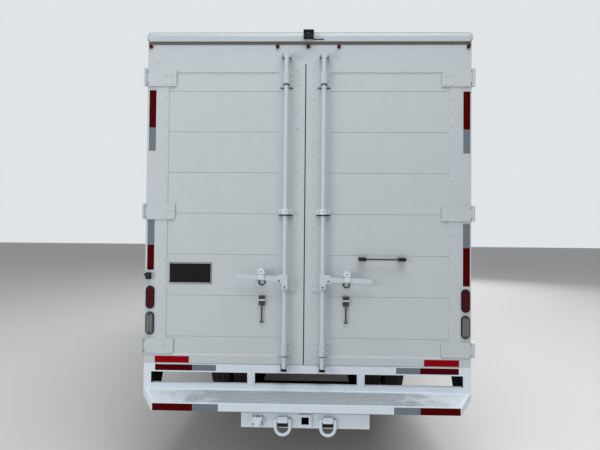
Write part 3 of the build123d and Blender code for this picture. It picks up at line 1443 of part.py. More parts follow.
with BuildPart() as cab_glass:
    with BuildSketch(screen_plane.offset(-glass_inset)):
        RectangleRounded(screen_width - 2 * seat_gap, screen_height - 2 * seat_gap, screen_corner)
    extrude(amount=-glass_thick)
    with BuildSketch(Plane.XZ.offset(-cab_back_y - glass_inset - glass_thick)):
        with Locations((0, back_window_z)):
            RectangleRounded(back_window[0] - 2 * seat_gap, back_window[1] - 2 * seat_gap,
                             back_window_corner)
    extrude(amount=glass_thick)
cab_glass.part.label = "cab_glass"
export_step(cab_glass.part, "parts/cab_glass.step")

with BuildPart() as head_lamps:
    with BuildSketch(Plane.XZ.offset(-cab_front_y + lamp_recess)):
        with Locations((-lamp_places_x, lamp_z), (lamp_places_x, lamp_z)):
            RectangleRounded(lamp_size[0] - 1, lamp_size[1] - 1, lamp_corner)
    extrude(amount=-lamp_recess - lamp_proud)
head_lamps.part.label = "head_lamps"
export_step(head_lamps.part, "parts/head_lamps.step")

dash_half = cab_half - 53
dash_back_y = cab_front_y - 420
dash_outline = (
    (cab_front_y - cab_wall, 1010), (cab_front_y - cab_wall, 1220), (cab_front_y - 90, 1262),
    (dash_back_y + 60, 1290), (dash_back_y, 1250), (dash_back_y + 40, 1090), (dash_back_y + 190, 1010),
)
with BuildPart() as dashboard:
    with BuildSketch(Plane.YZ.offset(-dash_half)):
        with BuildLine():
            Polyline(*dash_outline, close=True)
        make_face()
    extrude(amount=2 * dash_half)
dashboard.part.label = "dashboard"
export_step(dashboard.part, "parts/dashboard.step")

# Steering wheel on a column out of the dashboard
wheel_x = -500
wheel_rim = 205
wheel_grip = 14
wheel_boss = (50, 40)
wheel_spokes = 3
spoke_size = (26, 10)
column_radius = 26
column_length = 170
wheel_tilt = 32
wheel_centre = Vector(wheel_x, dash_back_y - 130, 1370)
wheel_axis = Vector(0, -sin(radians(wheel_tilt)), cos(radians(wheel_tilt)))
column_foot = wheel_centre - wheel_axis * column_length
column_root = (wheel_x, dash_back_y + 16, 1180)
with BuildPart() as steering_wheel:
    with Locations(Plane(origin=wheel_centre, x_dir=(1, 0, 0), z_dir=wheel_axis)):
        Torus(wheel_rim, wheel_grip)
        Cylinder(*wheel_boss)
        with PolarLocations(wheel_rim / 2, wheel_spokes, start_angle=90):
            Box(wheel_rim, *spoke_size)
    bar(tuple(wheel_centre), tuple(column_foot), column_radius)
    bar(tuple(column_foot), column_root, column_radius)
    with Locations(tuple(column_foot)):
        Sphere(column_radius)
    add(dashboard.part, mode=Mode.SUBTRACT)
steering_wheel.part.label = "steering_wheel"
export_step(steering_wheel.part, "parts/steering_wheel.step")

# Seats: plain cushions and backs
seat_back_y = cab_back_y + 300
seat_front_y = cab_back_y + 800
seat_top = 1260
back_outline = (
    (seat_back_y - seat_gap, 1180), (cab_back_y + 190, 1180), (cab_back_y + 90, 1900),
    (cab_back_y + 190, 1900), (seat_back_y - seat_gap, 1290),
)
with BuildPart() as seats:
    for seat_x, seat_width in seat_places:
        block((seat_x - seat_width / 2, seat_x + seat_width / 2), (seat_back_y, seat_front_y),
              (seat_box_top + seat_gap, seat_top))
        with BuildSketch(Plane.YZ.offset(seat_x - seat_width / 2)):
            with BuildLine():
                Polyline(*back_outline, close=True)
            make_face()
        extrude(amount=seat_width)
seats.part.label = "seats"
export_step(seats.part, "parts/seats.step")

# Cab doors on a hinge line at their front edge, with their glass and mirrors
cab_door_thick = 45
cab_door_gap = 6
window_corner = 40
window_past = 5
window_inset = 20
window_glass_thick = 5
cab_strap_reach = 60
window_outline = (
    (door_hinge_y - 70, 1400), (door_rear_y + 90, 1400),
    (door_rear_y + 90, 2070), (door_hinge_y - 250, 2070),
)
mirror_arm_y = door_hinge_y - 45
mirror_x = cab_half + 200
mirror_head = (172, 372)
mirror_head_z = 1670
mirror_corner = 40
mirror_depth = 40
mirror_arm_rows = (1350, 1950)
mirror_arm_radius = 9
mirror_arm_root = 6
mirror_post_y = mirror_arm_y - 20
mirror_pad = (14, 20)
mirror_pad_z = (1320, 1380)
mirror_cut = (20, 60)
mirror_cut_z = (1300, 1400)
for side, sign in sides:
    with BuildPart() as cab_door:
        with BuildSketch(Plane.YZ.offset(sign * cab_half)):
            with BuildLine():
                Polyline(*cab_door_outline, close=True)
            make_face()
            offset(amount=-cab_door_gap, kind=Kind.INTERSECTION, mode=Mode.REPLACE)
        extrude(amount=-sign * cab_door_thick)
        with BuildSketch(Plane.YZ.offset(sign * (cab_half + window_past))):
            with BuildLine():
                Polyline(*window_outline, close=True)
            make_face()
            fillet(vertices(), window_corner)
        extrude(amount=-sign * (cab_door_thick + 2 * window_past), mode=Mode.SUBTRACT)
        for hinge_z in cab_hinge_rows:
            block((sign * cab_half, sign * (cab_half + cab_hinge_leaf)),
                  (door_hinge_y - cab_strap_reach, cab_pivot_y),
                  (hinge_z - cab_barrel_height / 2, hinge_z + cab_barrel_height / 2))
            with Locations((sign * cab_pivot_x, cab_pivot_y, hinge_z)):
                Cylinder(cab_barrel_radius, cab_barrel_height)
                Cylinder(cab_pin_radius + running, cab_barrel_height, mode=Mode.SUBTRACT)
    cab_door.part.label = f"cab_door_{side}"
    export_step(cab_door.part, f"parts/cab_door_{side}.step")

    with BuildPart() as door_glass:
        with BuildSketch(Plane.YZ.offset(sign * (cab_half - window_inset))):
            with BuildLine():
                Polyline(*window_outline, close=True)
            make_face()
            fillet(vertices(), window_corner)
            offset(amount=-seat_gap, mode=Mode.REPLACE)
        extrude(amount=-sign * window_glass_thick)
    door_glass.part.label = f"door_glass_{side}"
    export_step(door_glass.part, f"parts/door_glass_{side}.step")

    with BuildPart() as mirror:
        for arm_z in mirror_arm_rows:
            bar((sign * (cab_half + mirror_arm_root), mirror_arm_y, mirror_arm_rows[0]),
                (sign * mirror_x, mirror_post_y, arm_z), mirror_arm_radius)
        block((sign * cab_half, sign * (cab_half + mirror_pad[0])),
              (mirror_arm_y - mirror_pad[1], mirror_arm_y + mirror_pad[1]), mirror_pad_z)
        block((sign * (cab_half - mirror_cut[0]), sign * cab_half),
              (mirror_arm_y - mirror_cut[1], mirror_arm_y + mirror_cut[1]), mirror_cut_z,
              mode=Mode.SUBTRACT)
        bar((sign * mirror_x, mirror_post_y, mirror_arm_rows[0]),
            (sign * mirror_x, mirror_post_y, mirror_arm_rows[1]), mirror_arm_radius)
        with BuildSketch(Plane.XZ.offset(-mirror_arm_y)):
            with Locations((sign * mirror_x, mirror_head_z)):
                RectangleRounded(*mirror_head, mirror_corner)
        extrude(amount=mirror_depth, taper=-4)
    mirror.part.label = f"mirror_{side}"
    export_step(mirror.part, f"parts/mirror_{side}.step")
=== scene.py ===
import math

import bmesh
import bpy
from mathutils import Matrix, Vector
from mathutils.bvhtree import BVHTree


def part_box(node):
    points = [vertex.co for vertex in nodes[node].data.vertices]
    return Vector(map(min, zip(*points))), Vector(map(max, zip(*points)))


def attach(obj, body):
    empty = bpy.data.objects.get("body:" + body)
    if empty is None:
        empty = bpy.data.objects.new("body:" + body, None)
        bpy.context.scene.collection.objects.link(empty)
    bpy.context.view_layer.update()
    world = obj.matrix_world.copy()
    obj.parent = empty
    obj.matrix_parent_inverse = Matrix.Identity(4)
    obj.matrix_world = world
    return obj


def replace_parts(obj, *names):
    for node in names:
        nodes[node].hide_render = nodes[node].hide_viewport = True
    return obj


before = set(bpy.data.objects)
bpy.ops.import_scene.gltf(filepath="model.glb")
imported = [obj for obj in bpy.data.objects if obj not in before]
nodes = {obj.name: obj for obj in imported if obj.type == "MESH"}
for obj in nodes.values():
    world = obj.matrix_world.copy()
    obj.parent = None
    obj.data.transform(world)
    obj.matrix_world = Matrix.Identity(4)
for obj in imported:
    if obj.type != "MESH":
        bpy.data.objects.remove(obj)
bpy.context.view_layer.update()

# Metres. X points to the truck's right, Y forwards, Z up, and the ground is at Z 0.
sides = (("left", -1), ("right", 1))
outward = {-1: "-X", 1: "+X"}

# Places read from the frame, and those of the lock gear, which stands out backwards from the doors
post_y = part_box("red_lamps")[1][1]
door_y = post_y - 0.003
panel_y = door_y + 0.004
rod_y = door_y - 0.042
lever_y = rod_y - 0.022
hub_y = lever_y - 0.011
catch_y = lever_y - 0.008
hitch_y = post_y - 0.240
step_low, step_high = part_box("step_bumper")
step_front_y = step_low[1]
step_top = 0.697
body_half = step_high[0]
roof_low, roof_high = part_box("box_roof")
roof_line = roof_low[2]


def linear(hex_code):
    """An sRGB hex colour as linear values with alpha 1."""
    channels = [int(hex_code[i:i + 2], 16) / 255 for i in (0, 2, 4)]
    return tuple(c / 12.92 if c <= 0.04045 else ((c + 0.055) / 1.055) ** 2.4 for c in channels) + (1.0,)


def set_inputs(tree, node, inputs):
    """Gives each input its value, or the socket that feeds it."""
    for key, value in inputs.items():
        if isinstance(value, bpy.types.NodeSocket):
            tree.links.new(value, node.inputs[key])
        else:
            node.inputs[key].default_value = value


def add_node(tree, kind, inputs=None, **settings):
    """Adds one node. settings are its properties; inputs are values or the sockets that feed it."""
    node = tree.nodes.new(kind)
    for key, value in settings.items():
        setattr(node, key, value)
    set_inputs(tree, node, inputs or {})
    return node


class Look:
    """A new material with short calls for the nodes that the finishes share."""

    def __init__(self, name):
        self.material = bpy.data.materials.new(name)
        self.material.use_nodes = True
        self.tree = self.material.node_tree
        self.place = self.add("TexCoord").outputs["Object"]

    def add(self, kind, inputs=None, **settings):
        return add_node(self.tree, "ShaderNode" + kind, inputs, **settings)

    def scaled(self, scale, turn=0.0):
        """The place in metres, stretched along each axis and then turned about Y."""
        inputs = {"Vector": self.place, "Scale": scale, "Rotation": (0, turn, 0)}
        return self.add("Mapping", inputs).outputs[0]

    def noise(self, scale, detail, roughness=0.5, place=None, output="Fac"):
        """Clouds of grey, finer with a larger scale."""
        inputs = {"Vector": place or self.place, "Scale": scale, "Detail": detail, "Roughness": roughness}
        return self.add("TexNoise", inputs).outputs[output]

    def net(self, cell, turn=0.0):
        """The distance from the middle of each square of a net."""
        inputs = {"Vector": self.scaled((1 / cell,) * 3, turn), "Scale": 1.0, "Randomness": 0.0}
        return self.add("TexVoronoi", inputs, distance="CHEBYCHEV").outputs["Distance"]

    def spread(self, value, to_low, to_high, low=0.0, high=1.0):
        """Carries a value's run from low to high over to another run."""
        inputs = {"Value": value, "From Min": low, "From Max": high, "To Min": to_low, "To Max": to_high}
        return self.add("MapRange", inputs).outputs[0]

    def calc(self, operation, *values):
        """One step of arithmetic on values or sockets."""
        return self.add("Math", dict(enumerate(values)), operation=operation).outputs[0]

    def mix(self, factor, first, second, blend="MIX"):
        """The first colour, with the second over it by the factor."""
        inputs = {"Factor": factor, 6: first, 7: second}
        return self.add("Mix", inputs, data_type="RGBA", blend_type=blend).outputs[2]

    def bump(self, height, strength, depth):
        return self.add("Bump", {"Height": height, "Strength": strength, "Distance": depth}).outputs[0]

    def finish(self, colour, **inputs):
        """Sets the shader, where an underscore stands for a space in an input's name."""
        named = {key.replace("_", " "): value for key, value in inputs.items()}
        set_inputs(self.tree, self.tree.nodes["Principled BSDF"], {"Base Color": colour, **named})
        return self.material


def painted(name, hex_code, rough=0.38, grime="6E6A62", grime_amount=0.05, peel=0.05, coat=0.0):
    """Sprayed enamel: an even coat with a faint orange peel, and thin road film that runs down in streaks."""
    look = Look(name)
    film = look.noise(2.2, 6.0, 0.62, look.scaled((5.0, 5.0, 0.7)))
    return look.finish(
        look.mix(look.spread(film, 0.0, grime_amount, 0.47, 0.86), linear(hex_code), linear(grime)),
        Roughness=look.spread(look.noise(5.0, 4.0), rough - 0.03, rough + 0.05),
        Normal=look.bump(look.noise(260.0, 2.0), peel, 0.001), Coat_Weight=coat, Coat_Roughness=0.15)


def rubber(name, hex_code="1B1B1C", dust="6B655B", dust_amount=0.35, rough=0.82):
    """Vulcanised rubber: dull and even, with clouds of road dust and a fine grain."""
    look = Look(name)
    amount = look.spread(look.noise(7.0, 8.0, 0.7), 0.0, dust_amount, 0.38, 0.75)
    return look.finish(look.mix(amount, linear(hex_code), linear(dust)), Roughness=rough,
                       Normal=look.bump(look.noise(420.0, 3.0), 0.25, 0.0006))


def bare_steel(name, hex_code, rust_amount, rough=0.42):
    """Steel with its plating worn: dull grey metal with brown rust that starts in spots."""
    look = Look(name)
    spots = look.noise(24.0, 10.0, 0.75)
    rust = look.spread(spots, 0.0, rust_amount, 0.52, 0.72)
    return look.finish(look.mix(rust, linear(hex_code), linear("5A3722")),
                       Metallic=look.spread(rust, 0.9, 0.1, 0.0, 0.3),
                       Roughness=look.spread(spots, rough - 0.1, rough + 0.2),
                       Normal=look.bump(spots, 0.2, 0.0008))


def moulded_plastic(name, hex_code, rough=0.45):
    """Moulded plastic: one colour through, with the fine leather grain of its tool."""
    look = Look(name)
    cells = look.add("TexVoronoi", {"Vector": look.place, "Scale": 900.0},
                     feature="SMOOTH_F1").outputs["Distance"]
    return look.finish(linear(hex_code), Normal=look.bump(cells, 0.15, 0.0005),
                       Roughness=look.spread(look.noise(12.0, 4.0), rough - 0.08, rough + 0.1))


def lamp_lens(name, hex_code):
    """Clear or dyed acrylic over a reflector: glossy, with the square optics moulded inside it."""
    look = Look(name)
    optic_size = 0.0045
    cells = look.net(optic_size)
    shade = look.spread(cells, 1.15, 0.72, 0.0, 0.5)
    return look.finish(look.mix(1.0, linear(hex_code), shade, "MULTIPLY"), Normal=look.bump(cells, 0.35, 0.001),
                       Roughness=0.22, Specular_IOR_Level=0.12, Transmission_Weight=0.25)


def window_glass(name):
    """Toughened glass with a dark green tint, thin enough that daylight reaches the cab through it."""
    look = Look(name)
    return look.finish(linear("1C2423"), Roughness=look.spread(look.noise(3.0, 5.0), 0.02, 0.10), Alpha=0.42,
                       Coat_Weight=1.0, Coat_Roughness=0.03)


def deck_boards(name):
    """Laminated hardwood planks, 0.15 m wide and 1.8 m long, with dark joints and a fine grain along them."""
    look = Look(name)
    plank_width, plank_length, joint = 0.15, 1.8, 0.012
    planks = {"Vector": look.scaled((1 / plank_width, 1 / plank_length, 1.0)), "Scale": 1.0,
              "Brick Width": 1.0, "Row Height": 1.0, "Mortar Size": joint, "Mortar": linear("2C1E14"),
              "Color1": linear("8A5F3A"), "Color2": linear("6E4A2C")}
    grain = look.noise(2.0, 6.0, place=look.scaled((60.0, 3.0, 60.0)), output="Color")
    return look.finish(look.mix(0.45, look.add("TexBrick", planks).outputs["Color"], grain, "OVERLAY"),
                       Roughness=0.6)


def seat_cloth(name):
    """Woven polyester in dark grey, thread lines drawn a little coarse so that they show."""
    look = Look(name)
    thread = 0.0016
    scaled = {"Vector": look.scaled((1 / thread,) * 3), "Scale": 0.5}
    warp, weft = (look.add("TexWave", scaled, bands_direction=axis).outputs["Fac"] for axis in "XY")
    return look.finish(look.mix(look.noise(14.0, 5.0), linear("3B3E44"), linear("2C2E33")), Roughness=0.9,
                       Sheen_Weight=0.3, Normal=look.bump(look.calc("ADD", warp, weft), 0.4, 0.0006))


def reflective_tape(name, hex_code):
    """Prismatic tape: a clear face over tiny corner cubes, which shows as a fine diamond net."""
    look = Look(name)
    cube_size = 0.006
    shade = look.spread(look.net(cube_size, math.radians(45)), 1.0, 0.7, 0.3, 0.5)
    return look.finish(look.mix(1.0, linear(hex_code), shade, "MULTIPLY"), Roughness=0.6,
                       Specular_IOR_Level=0.08)


def worn_tread(name, centre_hex, end_hex):
    """Chequer plate under old white paint: the paint is rubbed to grey steel where boots land."""
    look = Look(name)
    from_middle = look.calc("ABSOLUTE", look.add("SeparateXYZ", {"Vector": look.place}).outputs["X"])
    pushed = look.calc("MULTIPLY_ADD", look.noise(7.0, 8.0, 0.65), -0.9, from_middle)
    worn = look.spread(pushed, 1.0, 0.0, 0.23, 0.53)
    scuff = look.noise(90.0, 5.0, 0.6)
    amount = look.calc("MULTIPLY", worn, look.spread(scuff, 0.55, 1.0, 0.35, 0.65))
    return look.finish(look.mix(amount, linear(end_hex), linear(centre_hex)), Roughness=0.6,
                       Normal=look.bump(scuff, 0.15, 0.001))


# The finishes, each made once
# The white enamels of the doors, posts and lock rods are greyer than the walls' and cab's: painted shade, as the
# rear of the truck stands in shade
door_enamel = painted("white_enamel_doors", "BFC7CA", rough=0.46, grime_amount=0.045)
post_enamel = painted("white_enamel_posts", "BEC6CB", rough=0.44, grime_amount=0.04)
# A lighter white than the doors' enamel, for the sill and the legs' faces
sill_enamel = painted("lighter_white_enamel_sill", "DBE3EC", rough=0.46)
roof_enamel = painted("white_gelcoat_roof_cap", "BAC2C8", rough=0.34)
rod_enamel = painted("white_enamel_lock_rods", "C6CED3", grime_amount=0.03)
wall_enamel = painted("white_enamel_walls", "CDD2D5", rough=0.42, grime_amount=0.10)
step_enamel = painted("white_enamel_step", "D6E0E9", rough=0.48, grime_amount=0.10)
cab_enamel = painted("white_enamel_cab", "D6D9DB", rough=0.32, grime_amount=0.04, peel=0.0, coat=0.3)
chassis_enamel = painted("black_chassis_enamel", "0C0C0D", rough=0.75, grime="2A2724", grime_amount=0.35)
engine_iron = painted("grey_engine_enamel", "4A4D50", rough=0.55, grime="2B2622", grime_amount=0.6)
wheel_enamel = painted("white_wheel_enamel", "C9CBCB", rough=0.45, grime="5F574C", grime_amount=0.45)
# A lighter copy of the white enamel, for painted highlight on clamps, catches and a bracket that stand out into
# the light
highlight_enamel = painted("white_enamel_painted_highlight", "D6DDE1", rough=0.35, grime_amount=0.03)
handle_enamel = painted("black_handle_enamel", "121314", rough=0.32, grime="2A2A2A", grime_amount=0.1)
tyre_rubber = rubber("tyre_rubber")
seal_rubber = rubber("black_seal_rubber", "151516", dust_amount=0.12)
zinc_steel = bare_steel("dull_zinc_steel", "4A4D4E", rust_amount=0.35)
bright_steel = bare_steel("bright_steel", "A9ABAD", rough=0.3, rust_amount=0.12)
black_plastic = moulded_plastic("black_moulded_plastic", "1A1A1B")
grey_plastic = moulded_plastic("grey_cab_trim", "3C3D40")
red_lens = lamp_lens("red_acrylic_lens", "4C0208")
clear_lens = lamp_lens("clear_acrylic_lens", "5F5E5C")
tinted_glass = window_glass("tinted_cab_glass")
oak_deck = deck_boards("laminated_oak_deck")
cloth = seat_cloth("grey_seat_cloth")
seat_welt = moulded_plastic("black_vinyl_welt", "161617", rough=0.6)
pale_lining = moulded_plastic("pale_headliner", "A6A7A4", rough=0.8)
red_tape = reflective_tape("red_reflective_tape", "4E0004")
silver_tape = reflective_tape("silver_reflective_tape", "737D87")
bright_reflector = reflective_tape("bright_red_reflector", "960510")
tread_plate = worn_tread("worn_chequer_plate", "959CA3", "DDE4EB")
tread_tops = worn_tread("rubbed_chequer_tops", "737A81", "BCC4CB")
# The drip groove's colour: road dirt and painted shade under the cap's lip
groove_dirt_and_shade = painted("grimy_shaded_drip_groove", "6E6B66", rough=0.7, grime="4C4843", grime_amount=0.5)
# Near black for painted shade, on sheets and strips put in recesses and under parts where shade falls
painted_shade = rubber("painted_shade", "060606", dust="121110", dust_amount=0.3, rough=0.95)
white_seal = rubber("white_door_seal", "C9CED0", dust="8F8C84", dust_amount=0.15, rough=0.6)
board_black = painted("black_gloss_board", "08080A", rough=0.35, grime="1C1C1C", grime_amount=0.1)
dark_glass = painted("camera_eye_glass", "050608", rough=0.08, grime="0A0A0C", grime_amount=0.1, coat=0.8)
amber_lens = lamp_lens("amber_acrylic_lens", "B45A08")
bowl_lens = painted("silvered_lamp_bowl", "D4D8DA", rough=0.12, grime="8A8E90", grime_amount=0.15, coat=0.5)
mirror_silver = bare_steel("silvered_mirror", "D8DBDC", rough=0.14, rust_amount=0.0)
lamp_dot = painted("lamp_reflector_dots", "8C908E", rough=0.15, grime="6E7478", grime_amount=0.2, coat=0.6)

# Finishes that mirror less than the shader's usual half
less_mirroring = {
    0.2: (board_black, black_plastic, seal_rubber, painted_shade, silver_tape, handle_enamel),
    0.04: (red_tape, bright_reflector, chassis_enamel),
}
for level, dulled in less_mirroring.items():
    for material in dulled:
        material.node_tree.nodes["Principled BSDF"].inputs["Specular IOR Level"].default_value = level


def both(*stems):
    """The left and the right name of each stem."""
    return tuple(f"{stem}_{side}" for stem in stems for side, _ in sides)


# The finish of every node of the frame
finish_of = {
    door_enamel: both("rear_door"),
    post_enamel: ("rear_frame", "lock_keepers"),
    roof_enamel: ("box_roof",),
    rod_enamel: both("lock_rod"),
    wall_enamel: both("side_wall") + ("bulkhead",),
    step_enamel: ("step_bumper", "hitch", "d_rings"),
    cab_enamel: ("cab_shell", "cab_floor", "cab_steps") + both("cab_door"),
    chassis_enamel: ("crossmembers", "front_axle", "rear_axle", "leaf_springs", "drive_shaft", "cross_sills",
                     "tie_rod") + both("frame_rail", "knuckle"),
    engine_iron: ("engine",),
    bright_steel: ("fuel_tank",),
    zinc_steel: ("exhaust", "grab_handle") + both("holdback"),
    wheel_enamel: both("front_wheel", "rear_wheels"),
    tyre_rubber: both("front_tyre", "rear_tyres"),
    oak_deck: ("box_floor",),
    red_lens: ("red_lamps",),
    clear_lens: ("reversing_lamps", "head_lamps"),
    black_plastic: ("plate_lamp", "rear_camera", "battery_box", "front_bumper", "mudguards") + both("mirror"),
    tinted_glass: ("cab_glass",) + both("door_glass"),
    grey_plastic: ("dashboard", "steering_wheel"),
    cloth: ("seats",),
}
for material, names in finish_of.items():
    for name in names:
        nodes[name].data.materials.clear()
        nodes[name].data.materials.append(material)

# The record's slot of each finish, where a piece doesn't name another
slot_finishes = {
    "white_paint": (door_enamel, post_enamel, sill_enamel, roof_enamel, rod_enamel, wall_enamel, highlight_enamel,
                    tread_plate, tread_tops, groove_dirt_and_shade),
    "chassis_black": (chassis_enamel, painted_shade),
    "bare_metal": (zinc_steel,),
    "tyre_rubber": (tyre_rubber,),
    "red_lens": (red_tape, silver_tape, bright_reflector),
    "clear_lens": (clear_lens, dark_glass, amber_lens, bowl_lens, lamp_dot),
    "black_plastic": (black_plastic, seal_rubber, white_seal, handle_enamel, board_black),
    "window_glass": (mirror_silver,),
    "cab_trim": (grey_plastic, pale_lining),
    "seat_cloth": (cloth, seat_welt),
}
slot_of = {material: slot for slot, group in slot_finishes.items() for material in group}


def linked(name, data):
    """A new object at the origin of the scene."""
    holder = bpy.data.objects.new(name, data)
    bpy.context.scene.collection.objects.link(holder)
    return holder


def baked(holder):
    """The plain mesh that an object shows after its modifiers."""
    return bpy.data.meshes.new_from_object(holder.evaluated_get(bpy.context.evaluated_depsgraph_get()))


def new_piece(name, mesh, body, material, slot=None):
    """A finished piece at the origin that rides on a body."""
    piece = linked(name, mesh)
    mesh.materials.clear()
    mesh.materials.append(material)
    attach(piece, body)
    slot or slot_of[material]
    return piece


def mesh_from(name, build):
    """A mesh filled by build(bm)."""
    mesh = bpy.data.meshes.new(name)
    bm = bmesh.new()
    build(bm)
    bm.to_mesh(mesh)
    bm.free()
    return mesh


def plain_boxes(name, boxes, body, material, bevel=0.0, slot=None):
    """Boxes from a table of corners, with worn edges, as one piece."""
    def build(bm):
        for low, high in boxes:
            size = [abs(high[i] - low[i]) for i in range(3)]
            middle = [(high[i] + low[i]) / 2 for i in range(3)]
            bmesh.ops.create_cube(bm, size=1.0, matrix=Matrix.Translation(middle) @ Matrix.Diagonal((*size, 1)))
        if bevel:
            bmesh.ops.bevel(bm, geom=bm.edges[:], offset=bevel, segments=2, profile=0.5, affect="EDGES")
    return new_piece(name, mesh_from(name, build), body, material, slot)


def block(name, low, high, body, material, bevel=0.0, slot=None):
    """One box between two corners, as one piece."""
    return plain_boxes(name, [(low, high)], body, material, bevel, slot)


def loft(bm, rings, closed=False, smooth=False):
    """Skins rings of places, which run on to the first ring if closed, or else have their ends filled."""
    rings = [[bm.verts.new(place) for place in ring] for ring in rings]
    if closed:
        rings.append(rings[0])
    else:
        bm.faces.new(rings[0])
        bm.faces.new(rings[-1])
    for low, high in zip(rings, rings[1:]):
        for k in range(len(low)):
            after = (k + 1) % len(low)
            bm.faces.new((low[k], low[after], high[after], high[k]))
    bmesh.ops.recalc_face_normals(bm, faces=bm.faces[:])
    for face in bm.faces:
        face.smooth = smooth


def slab_rings(outline, axis, ends):
    """A flat outline at both ends of a thickness along an axis: 0, 1 or 2 for X, Y or Z."""
    return [[(*flat[:axis], end, *flat[axis:]) for flat in outline] for end in ends]


def slab(name, outline, axis, ends, body, material):
    """A flat outline with a thickness, as one piece."""
    new_piece(name, mesh_from(name, lambda bm: loft(bm, slab_rings(outline, axis, ends))), body, material)


def tube(name, points, radius, body, material, cyclic=False):
    """A round bar or rubber along points, with its ends closed."""
    curve = bpy.data.curves.new(name, "CURVE")
    curve.dimensions = "3D"
    curve.bevel_depth = radius
    curve.bevel_resolution = 3
    curve.use_fill_caps = not cyclic
    line = curve.splines.new("POLY")
    line.points.add(len(points) - 1)
    for point, place in zip(line.points, points):
        point.co = (*place, 1.0)
    line.use_cyclic_u = cyclic
    holder = linked(name + "_line", curve)
    mesh = baked(holder)
    bpy.data.objects.remove(holder)
    for polygon in mesh.polygons:
        polygon.use_smooth = True
    new_piece(name, mesh, body, material)


def rectangle(u_low, u_high, v_low, v_high):
    """Four corners, in order."""
    return (u_low, v_low), (u_high, v_low), (u_high, v_high), (u_low, v_high)


def round_corners(corners, radius):
    """The corners of a closed outline, each replaced by an arc. Corners are (u, v)."""
    steps = 6
    rounded = []
    for k, corner in enumerate(corners):
        here = Vector(corner)
        back = (Vector(corners[k - 1]) - here).normalized()
        ahead = (Vector(corners[(k + 1) % len(corners)]) - here).normalized()
        half = back.angle(ahead) / 2
        centre = here + (back + ahead).normalized() * (radius / math.sin(half))
        start = here + back * (radius / math.tan(half)) - centre
        end = here + ahead * (radius / math.tan(half)) - centre
        for step in range(steps + 1):
            rounded.append(tuple(centre + start.lerp(end, step / steps).normalized() * radius))
    return rounded


def turn_angles(steps):
    """The angles of a whole turn in equal steps."""
    return [2 * math.pi * step / steps for step in range(steps)]


def lathe(name, base, axis, profile, body, material, turns=32, slot=None):
    """A turned piece: the profile's (distance along the axis, radius) spun about it, closed at both ends."""
    axis = Vector(axis).normalized()
    across = axis.orthogonal().normalized()
    other = axis.cross(across)
    spokes = [across * math.cos(angle) + other * math.sin(angle) for angle in turn_angles(turns)]
    rings = [[Vector(base) + axis * along + spoke * radius for spoke in spokes] for along, radius in profile]
    new_piece(name, mesh_from(name, lambda bm: loft(bm, rings)), body, material, slot)


def ring_of_bar(name, centre, radius, bar, body, material):
    """A round ring of round bar that faces backwards, as one piece."""
    bar_sides, ring_steps = 10, 36
    rings = [[Vector(centre) + Vector((math.cos(turn), 0, math.sin(turn))) * (radius + bar * math.cos(around))
              + Vector((0, bar * math.sin(around), 0)) for around in turn_angles(bar_sides)]
             for turn in turn_angles(ring_steps)]
    new_piece(name, mesh_from(name, lambda bm: loft(bm, rings, True, True)), body, material)


def oval_ring(name, centre, half_width, half_height, width, depth):
    """A rubber ring round an upright oval on the back of the truck, as one piece."""
    steps = 48
    rings = []
    for grow, out in ((0.0, 0.0), (0.0, depth), (width, depth * 0.6), (width, 0.0)):
        radius = half_width + grow
        ring = []
        for angle in turn_angles(steps):
            straight = math.copysign(half_height - half_width, math.sin(angle))
            ring.append((centre[0] + radius * math.cos(angle), centre[1] - out,
                         centre[2] + radius * math.sin(angle) + straight))
        rings.append(ring)
    new_piece(name, mesh_from(name, lambda bm: loft(bm, rings, True)), "chassis", seal_rubber)


class Grower:
    """A Geometry Nodes tree whose inputs are a mesh, named floats, named vectors and a material."""

    def __init__(self, name, floats, vectors):
        self.tree = bpy.data.node_groups.new(name, "GeometryNodeTree")
        self.tree.interface.new_socket("Geometry", in_out="OUTPUT", socket_type="NodeSocketGeometry")
        kinds = {"Geometry": ("Geometry",), "Float": floats, "Vector": vectors, "Material": ("Material",)}
        for kind, labels in kinds.items():
            for label in labels:
                self.tree.interface.new_socket(label, in_out="INPUT", socket_type="NodeSocket" + kind)
        self.given = add_node(self.tree, "NodeGroupInput").outputs

    def add(self, kind, inputs=None, **settings):
        """The first output of a new node."""
        return add_node(self.tree, kind, inputs, **settings).outputs[0]

    def close(self, instances, smooth):
        """Makes the instances real, sets their shading and material, and ends the tree."""
        real = self.add("GeometryNodeRealizeInstances", {"Geometry": instances})
        shaded = self.add("GeometryNodeSetShadeSmooth", {"Geometry": real, "Shade Smooth": smooth})
        finish = {"Geometry": shaded, "Material": self.given["Material"]}
        add_node(self.tree, "NodeGroupOutput", {"Geometry": self.add("GeometryNodeSetMaterial", finish)})
        return self.tree


def heads_tree(name, head_kind, head_inputs, along_lines=False, smooth=False):
    """A head at every point of the mesh, or every pitch along its edges."""
    grower = Grower(name, ("Pitch",), ("Size", "Turn"))
    add, given = grower.add, grower.given
    points = given["Geometry"]
    if along_lines:
        curve = add("GeometryNodeMeshToCurve", {"Mesh": points})
        points = add("GeometryNodeResampleCurve", {"Curve": curve, "Length": given["Pitch"]}, mode="LENGTH")
    head = add("GeometryNodeMesh" + head_kind, head_inputs)
    sized = add("GeometryNodeTransform", {"Geometry": head, "Scale": given["Size"]})
    placed = {"Points": points, "Instance": sized, "Rotation": given["Turn"]}
    return grower.close(add("GeometryNodeInstanceOnPoints", placed), smooth)


